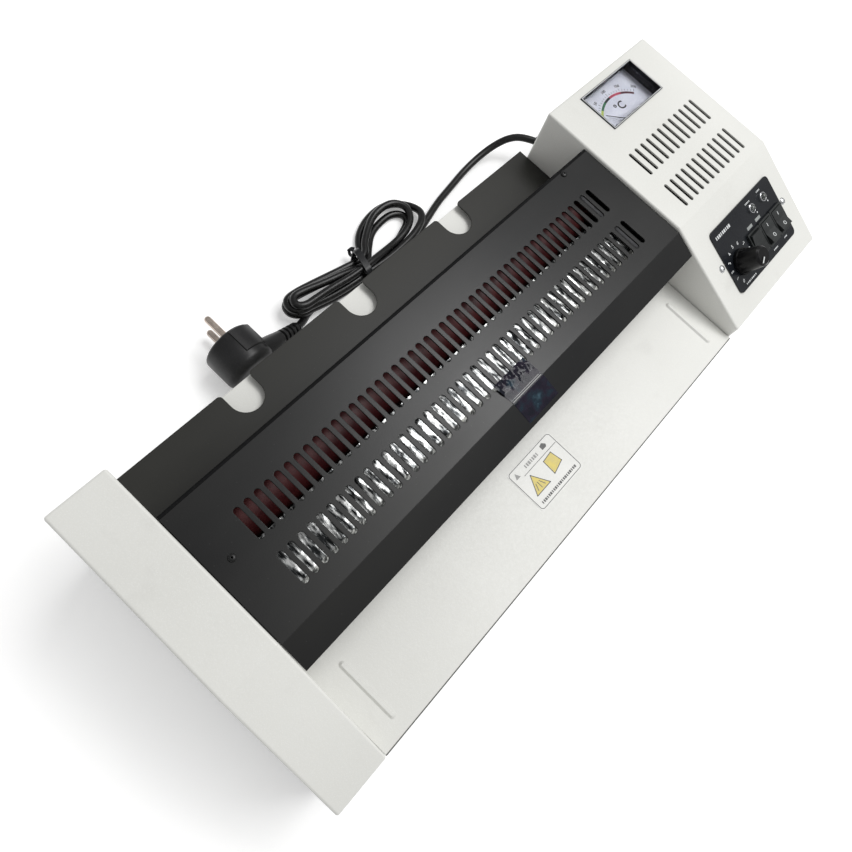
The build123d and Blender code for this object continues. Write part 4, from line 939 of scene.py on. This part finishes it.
def make_rocker_marks():
    """Line for on and ring for off, on the two facets of each marked rocker."""
    tilt = math.radians(10)
    for spot, body in zip(ROCKER_SPOTS[1:], ROCKER_BODIES[1:]):
        pivot = slope_place(*spot, PANEL_TOP + 0.4) @ Matrix.Rotation(-tilt, 4, "X")
        rear = pivot @ Matrix.Translation((0, 0, 1.5)) @ Matrix.Rotation(tilt, 4, "X")
        front = pivot @ Matrix.Translation((0, 0, 1.5)) @ Matrix.Rotation(-tilt, 4, "X")
        mark = Print(rear)
        mark.bar(0, 4.4, 0.6, 2.6)
        mark.place = front
        mark.arc(0, -4.4, 0.9, 1.4, 0, 360)
        mark.done(body + "_mark", WHITE_INK, body)


def make_lamps():
    """Chrome bezel and domed lens of each panel lamp."""
    bezels, lenses = bmesh.new(), bmesh.new()
    ring = [(2.5, 0.3), (2.5, 1.3), (2.7, 1.7), (3.0, 1.8), (3.3, 1.6), (3.4, 1.1), (3.4, 0.0),
            (2.6, 0.0)]
    dome = [(2.5, 0.2)]
    for degrees in range(0, 81, 10):
        angle = math.radians(degrees)
        dome.append((2.5 * math.cos(angle), 1.0 + 2.5 * math.sin(angle)))
    for spot in LAMP_SPOTS:
        place = slope_place(*spot, PANEL_TOP)
        for target, profile in ((bezels, ring), (lenses, dome)):
            merge(target, turned(profile, place))
    add_piece("lamp_bezels", finish_mesh("lamp_bezels", bezels, 40), CHROME, "root")
    lens = add_piece("lamp_lenses", finish_mesh("lamp_lenses", lenses, 40),
                     SLOT_FINISHES["lamp_lens"], "root")
    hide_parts("indicator_lamps")


make_panel_prints()
make_knob_mark()
make_rocker_marks()
make_lamps()


# ---------------------------------------------------------------- meter


def make_dial_print():
    """Coloured bands, ticks and the unit on the meter's card."""
    place = level_place(*DIAL_PLACE)
    bands = (
        ("lime", LIME_INK, 138, 122), ("green", GREEN_INK, 122, 104),
        ("black", BLACK_INK, 104, 90), ("red", RED_INK, 90, 66),
        ("maroon", MAROON_INK, 66, 42),
    )
    for name, material, start, end in bands:
        band = Print(place)
        band.arc(0, 0, DIAL_RADIUS - 1.0, DIAL_RADIUS + 0.8, end, start)
        band.done("dial_band_" + name, material, "root")
    marks = Print(place)
    for step in range(21):
        degrees = 138 - 4.8 * step
        angle = math.radians(degrees)
        long_mark = step % 5 == 0
        length = 2.2 if long_mark else 1.3
        middle = DIAL_RADIUS + 1.6 + length / 2
        marks.bar(middle * math.cos(angle), middle * math.sin(angle), length, 0.25, degrees)
        if long_mark:
            far = DIAL_RADIUS + 6.0
            number = str(10 * step)
            marks.words(number, far * math.cos(angle), far * math.sin(angle), 3.0,
                        degrees - 90)
    marks.words("°C", 0.6, 16.6, 9.0, bold=0.16)
    marks.done("dial_marks", BLACK_INK, "root")


def make_needle():
    """Slim tapered pointer on its hub."""
    mesh = bmesh.new()
    place = level_place(DIAL_PLACE[0], DIAL_PLACE[1], NEEDLE_Z)
    turn = place @ Matrix.Rotation(math.radians(NEEDLE_ANGLE), 4, "Z")
    outline = ((-6.0, -0.7), (0.0, -0.5), (NEEDLE_LENGTH, -0.12), (NEEDLE_LENGTH, 0.12),
               (0.0, 0.5), (-6.0, 0.7))
    low = [mesh.verts.new(turn @ Vector((x, y, -0.15))) for x, y in outline]
    high = [mesh.verts.new(turn @ Vector((x, y, 0.15))) for x, y in outline]
    join_rings(mesh, [low, high])
    hub = turned(((1.0, -8.0), (1.0, -0.9), (2.2, -0.8), (2.2, 0.6), (1.6, 0.9)), place, 24)
    merge(mesh, hub)
    piece = add_piece("dial_pointer", finish_mesh("dial_pointer", mesh, 40),
                      SLOT_FINISHES["needle_paint"], "meter_pointer")
    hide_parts("meter_needle")


def make_meter_trim():
    """Fine bright line painted on the top of the meter's rim as its highlight."""
    (low_x, low_y), (high_x, high_y) = METER_LOW, METER_HIGH
    # White ink frame on the rim's top: painted highlight.
    rim_highlight = Print(level_place(0, 0, METER_RIM_TOP), 0.05)
    middle_x, middle_y = (low_x + high_x) / 2, (low_y + high_y) / 2
    width, depth = high_x - low_x, high_y - low_y
    inset = 0.6
    for side in (-1, 1):
        rim_highlight.bar(middle_x, middle_y + side * (depth / 2 - inset), width - 2 * inset, 0.45)
        rim_highlight.bar(middle_x + side * (width / 2 - inset), middle_y, 0.45, depth - 2 * inset)
    rim_highlight.done("meter_rim_highlight", WHITE_INK, "root")


make_dial_print()
make_needle()
make_meter_trim()


# ---------------------------------------------------------------- label


def label_border(lines):
    """A thin rectangle with round corners."""
    half_width, half_height = LABEL_HALF
    straight_x = half_width - LABEL_EDGE - LABEL_CORNER
    straight_y = half_height - LABEL_EDGE - LABEL_CORNER
    quarter_starts = {(1, 1): 0, (-1, 1): 90, (-1, -1): 180, (1, -1): 270}
    for side in (-1, 1):
        lines.bar(0, side * (half_height - LABEL_EDGE), 2 * straight_x, 0.4)
        lines.bar(side * (half_width - LABEL_EDGE), 0, 0.4, 2 * straight_y)
        for end in (-1, 1):
            start = quarter_starts[(side, end)]
            lines.arc(side * straight_x, end * straight_y, LABEL_CORNER - 0.2,
                      LABEL_CORNER + 0.2, start, start + 90)


def outline_shape(lines, shape):
    for start, end in zip(shape, shape[1:] + shape[:1]):
        run = Vector(end) - Vector(start)
        middle = (Vector(end) + Vector(start)) / 2
        degrees = math.degrees(math.atan2(run.y, run.x))
        lines.bar(*middle, run.length + 0.4, 0.5, degrees)


def make_label_print():
    """Generic label: a border, two yellow signs and blocks in place of words."""
    place = level_place(*LABEL_MIDDLE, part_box("tray_label")[1].z / MM)
    triangle = ((-15.6, -6.6), (-2.8, -6.6), (-9.2, 4.8))
    sheet = ((3.2, -5.4), (13.0, -3.0), (11.6, 5.2), (3.6, 4.4))
    lines = Print(place, 0.07)
    label_border(lines)
    lines.bar(3.5, 7.0, 31.0, 0.35)
    caption(lines, 0.0, -11.4, 34.0, 1.7, 21)
    lines.plate([(9.0, 9.4), (12.6, 9.4), (13.6, 10.8), (11.6, 13.0), (9.0, 12.2)])
    outline_shape(lines, triangle)
    outline_shape(lines, sheet)
    for x, lean in ((-11.6, -24), (-9.2, 0), (-6.8, 24)):
        lines.bar(x, -3.0, 0.45, 4.6, lean)
    lines.done("label_lines", LINE_INK)
    pale = Print(place, 0.05)
    caption(pale, -1.5, 10.4, 13.0, 2.2, 7)
    pale.plate([(-17.6, 8.6), (-13.8, 8.6), (-15.7, 12.2)])
    pale.done("label_captions", PALE_INK)
    yellow = Print(place, 0.04)
    yellow.plate(triangle)
    yellow.plate(sheet)
    yellow.done("label_signs", YELLOW_INK)


make_label_print()


# ---------------------------------------------------------------- small parts of the cover


def make_cover_screws():
    """Dark domed heads over the two small screws of the vented cover."""
    mesh = bmesh.new()
    dome = ((2.1, 0.0), (2.1, 0.5), (1.7, 0.9), (1.1, 1.15), (0.5, 1.2), (0.5, 0.7), (0.1, 0.7))
    for x, y in COVER_SCREW_SPOTS:
        merge(mesh, turned(dome, level_place(x, y, COVER_TOP), 24))
    add_piece("cover_screw_heads", finish_mesh("cover_screw_heads", mesh, 40),
              SLOT_FINISHES["black_casing"], "root")


def cover_surface(along):
    """Y and z on the vented cover, a distance forward of the film's rear edge."""
    flat = FILM_START_Y - COVER_BEND_Y
    if along <= flat:
        return FILM_START_Y - along, COVER_TOP
    down = along - flat
    slope = math.atan2(COVER_TOP - COVER_LIP[1], COVER_BEND_Y - COVER_LIP[0])
    return COVER_BEND_Y - down * math.cos(slope), COVER_TOP - down * math.sin(slope)


def film_grid(mesh, lift):
    """Rows of points over the cover, wrinkled where the film is loose."""
    grid = []
    for row in range(FILM_ROWS + 1):
        along = FILM_LENGTH * row / FILM_ROWS
        y, z = cover_surface(along)
        loose = max(0.0, 1.0 - along / FILM_LOOSE_LENGTH)
        line = []
        for column in range(FILM_COLUMNS + 1):
            x = FILM_START_X + FILM_WIDTH * column / FILM_COLUMNS + 0.1 * along
            wave = math.sin(0.9 * x + 0.5 * along) + math.sin(0.37 * x - 1.1 * along)
            wave += 0.8 * math.sin(1.7 * x + 1.3 * math.sin(0.9 * along))
            rise = lift + loose * FILM_WRINKLE * (2.8 + wave)
            line.append(mesh.verts.new(Vector((x, y, z + rise)) * MM))
        grid.append(line)
    return grid


def make_film():
    """Strip of tinted film over the bend, and pale strips along its fold painted as the fold's
    highlight.
    """
    mesh = bmesh.new()
    layers = [film_grid(mesh, FILM_GAP), film_grid(mesh, FILM_GAP + FILM_THICKNESS)]
    for grid in layers:
        for near, far in zip(grid, grid[1:]):
            for i in range(FILM_COLUMNS):
                mesh.faces.new((near[i], near[i + 1], far[i + 1], far[i]))
    join_rings(mesh, [row_edge(grid) for grid in layers], close_ends=False)
    add_piece("tinted_film", finish_mesh("tinted_film", mesh, 60), tinted_film(), "root")
    top = COVER_TOP + FILM_GAP + FILM_THICKNESS
    # Pale strips along the film's fold: painted highlight.
    fold_highlight = Print(level_place(-29.0, COVER_BEND_Y, top), 0.04)
    fold_highlight.bar(0.0, 0.5, 25.6, 0.5)
    fold_highlight.bar(0.6, 1.6, 22.0, 0.3)
    fold_highlight.done("film_fold_highlight", PALE_INK)


def row_edge(grid):
    """The outer points of a grid, in order round it."""
    first, last = grid[0], grid[-1]
    right = [line[-1] for line in grid[1:-1]]
    left = [line[0] for line in grid[1:-1]]
    return first + right + last[::-1] + left[::-1]


def tinted_film():
    """Thin glossy film with blue and violet interference patches."""
    finish = Finish("tinted_film")
    patches = finish.noise(110.0, 3.0)
    colour = finish.ramp(
        patches, ((0.35, (0.010, 0.013, 0.022)), (0.5, (0.022, 0.016, 0.032)),
                  (0.62, (0.014, 0.032, 0.05)), (0.78, (0.07, 0.13, 0.17)))
    )
    finish.link(colour, finish.shader.inputs["Base Color"])
    finish.link(finish.levels(patches, 0.1, 0.25), finish.shader.inputs["Roughness"])
    finish.relief(finish.noise(500.0, 2.0), 0.00003, 0.0)
    finish.sockets(Transmission_Weight=0.35, IOR=1.3, Specular_IOR_Level=0.5)
    return finish.material


def make_rear_hem():
    """Dark strip shaped as a rolled hem along the rear edge of the vented cover; its near-black
    matte paint is painted shade for the shadow gap under the edge.
    """
    profile = ((57.0, 0.0), (57.1, 0.16), (57.8, 0.22), (58.7, 0.16), (58.95, 0.0), (58.2, -0.1))
    mesh = bmesh.new()
    rings = []
    for x in SHADE_HEM_ENDS:
        corners = [Vector((x, y, COVER_TOP + rise)) * MM for y, rise in profile]
        rings.append([mesh.verts.new(corner) for corner in corners])
    join_rings(mesh, rings)
    add_piece("cover_rear_shade_hem", finish_mesh("cover_rear_shade_hem", mesh, 50), HEM_SHADE_BLACK, "root")


def make_tray_edge():
    """Dark line along the rounded fold of the feed tray: painted shade where the fold's face
    turns from the light.
    """
    low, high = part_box("feed_tray")
    middle_y, middle_z = low.y / MM + FOLD_RADIUS, TRAY_TOP - FOLD_RADIUS
    outline = [(FOLD_RADIUS + 0.04, degrees) for degrees in (100, 120, 140, 160)]
    outline += [(FOLD_RADIUS - 0.1, degrees) for degrees in (160, 140, 120, 100)]
    mesh = bmesh.new()
    rings = []
    for x in (low.x / MM, high.x / MM):
        ring = []
        for reach, degrees in outline:
            angle = math.radians(degrees)
            y, z = middle_y + reach * math.cos(angle), middle_z + reach * math.sin(angle)
            ring.append(mesh.verts.new(Vector((x, y, z)) * MM))
        rings.append(ring)
    join_rings(mesh, rings)
    add_piece("tray_edge_shade_line", finish_mesh("tray_edge_shade_line", mesh, 50), EDGE_SHADE_INK, "root")


make_cover_screws()
make_film()
make_rear_hem()
make_tray_edge()


# ---------------------------------------------------------------- pressure springs


def spring_sections(middle_x, middle_y, low_z, high_z):
    """Wire along a coil whose end turns lie flat."""
    steps = round(SPRING_TURNS * SPRING_STEPS)
    flat = SPRING_FLAT_TURNS / SPRING_TURNS
    places = []
    for i in range(steps + 1):
        share = min(1.0, max(0.0, (i / steps - flat) / (1.0 - 2.0 * flat)))
        angle = 2 * math.pi * i / SPRING_STEPS
        x = middle_x + SPRING_RADIUS * math.cos(angle)
        y = middle_y + SPRING_RADIUS * math.sin(angle)
        places.append(Vector((x, y, low_z + share * (high_z - low_z))))
    sections = []
    for i, place in enumerate(places):
        ahead = places[min(i + 1, steps)] - places[max(i - 1, 0)]
        sections.append((place, ahead, SPRING_WIRE, SPRING_WIRE))
    return sections


def make_springs(node_name):
    """Two coil springs between the bearing blocks and the frames."""
    low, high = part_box(node_name)
    low_mm, high_mm = low / MM, high / MM
    outer = SPRING_RADIUS + SPRING_WIRE
    middle_y = (low_mm.y + high_mm.y) / 2
    mesh = bmesh.new()
    for middle_x in (low_mm.x + outer, high_mm.x - outer):
        sections = spring_sections(
            middle_x, middle_y, low_mm.z + SPRING_WIRE, high_mm.z - SPRING_WIRE
        )
        merge(mesh, lofted(sections, 12))
    name = node_name + "_coils"
    springs = add_piece(name, finish_mesh(name, mesh, 50), SLOT_FINISHES["spring_steel"], None)
    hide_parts(node_name)
    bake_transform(springs)


make_springs("hot_springs")
make_springs("pull_springs")


# ---------------------------------------------------------------- floor, light, camera


def add_floor():
    mesh = bmesh.new()
    for x, y in ((-1, -1), (1, -1), (1, 1), (-1, 1)):
        mesh.verts.new((x * FLOOR_HALF, y * FLOOR_HALF, FLOOR_Z))
    mesh.faces.new(mesh.verts)
    data = finish_mesh("floor", mesh)
    floor = bpy.data.objects.new("floor", data)
    SCENE.collection.objects.link(floor)
    data.materials.append(surface(
        "floor_paper", (0.9, 0.9, 0.9), (0.93, 0.93, 0.93), 3.0, 400.0, None, 0.0,
        (0.8, 0.9), 0.00001, round_edge=0.0, Emission_Strength=FLOOR_GLOW,
    ))


def add_light(name, place, size, power):
    light = bpy.data.lights.new(name, "AREA")
    light.shape = "RECTANGLE"
    light.size, light.size_y = size
    light.energy = power
    lamp = bpy.data.objects.new(name, light)
    lamp.location = place
    lamp.rotation_euler = (Vector(LIGHT_AIM) - Vector(place)).to_track_quat("-Z", "Y").to_euler()
    SCENE.collection.objects.link(lamp)


def add_lights():
    add_light("key_box", (0.65, -0.38, 1.6), (1.0, 1.0), KEY_WATTS)
    add_light("sheen_box", (0.74, 0.22, 1.6), (0.5, 0.45), SHEEN_WATTS)
    world = bpy.data.worlds.new("studio")
    world.use_nodes = True
    background = world.node_tree.nodes["Background"]
    background.inputs["Color"].default_value = (1.0, 1.0, 1.0, 1.0)
    background.inputs["Strength"].default_value = SKY_STRENGTH
    SCENE.world = world
    SCENE.view_settings.view_transform = "Standard"


def add_camera():
    lens = bpy.data.cameras.new("photo_camera")
    lens.sensor_width = SENSOR_WIDTH
    lens.lens = FOCAL_LENGTH
    lens.clip_start = 0.01
    camera = bpy.data.objects.new("photo_camera", lens)
    camera.location = CAMERA_PLACE
    camera.rotation_euler = [math.radians(angle) for angle in CAMERA_TURN]
    SCENE.collection.objects.link(camera)
    SCENE.camera = camera


add_floor()
add_lights()
add_camera()
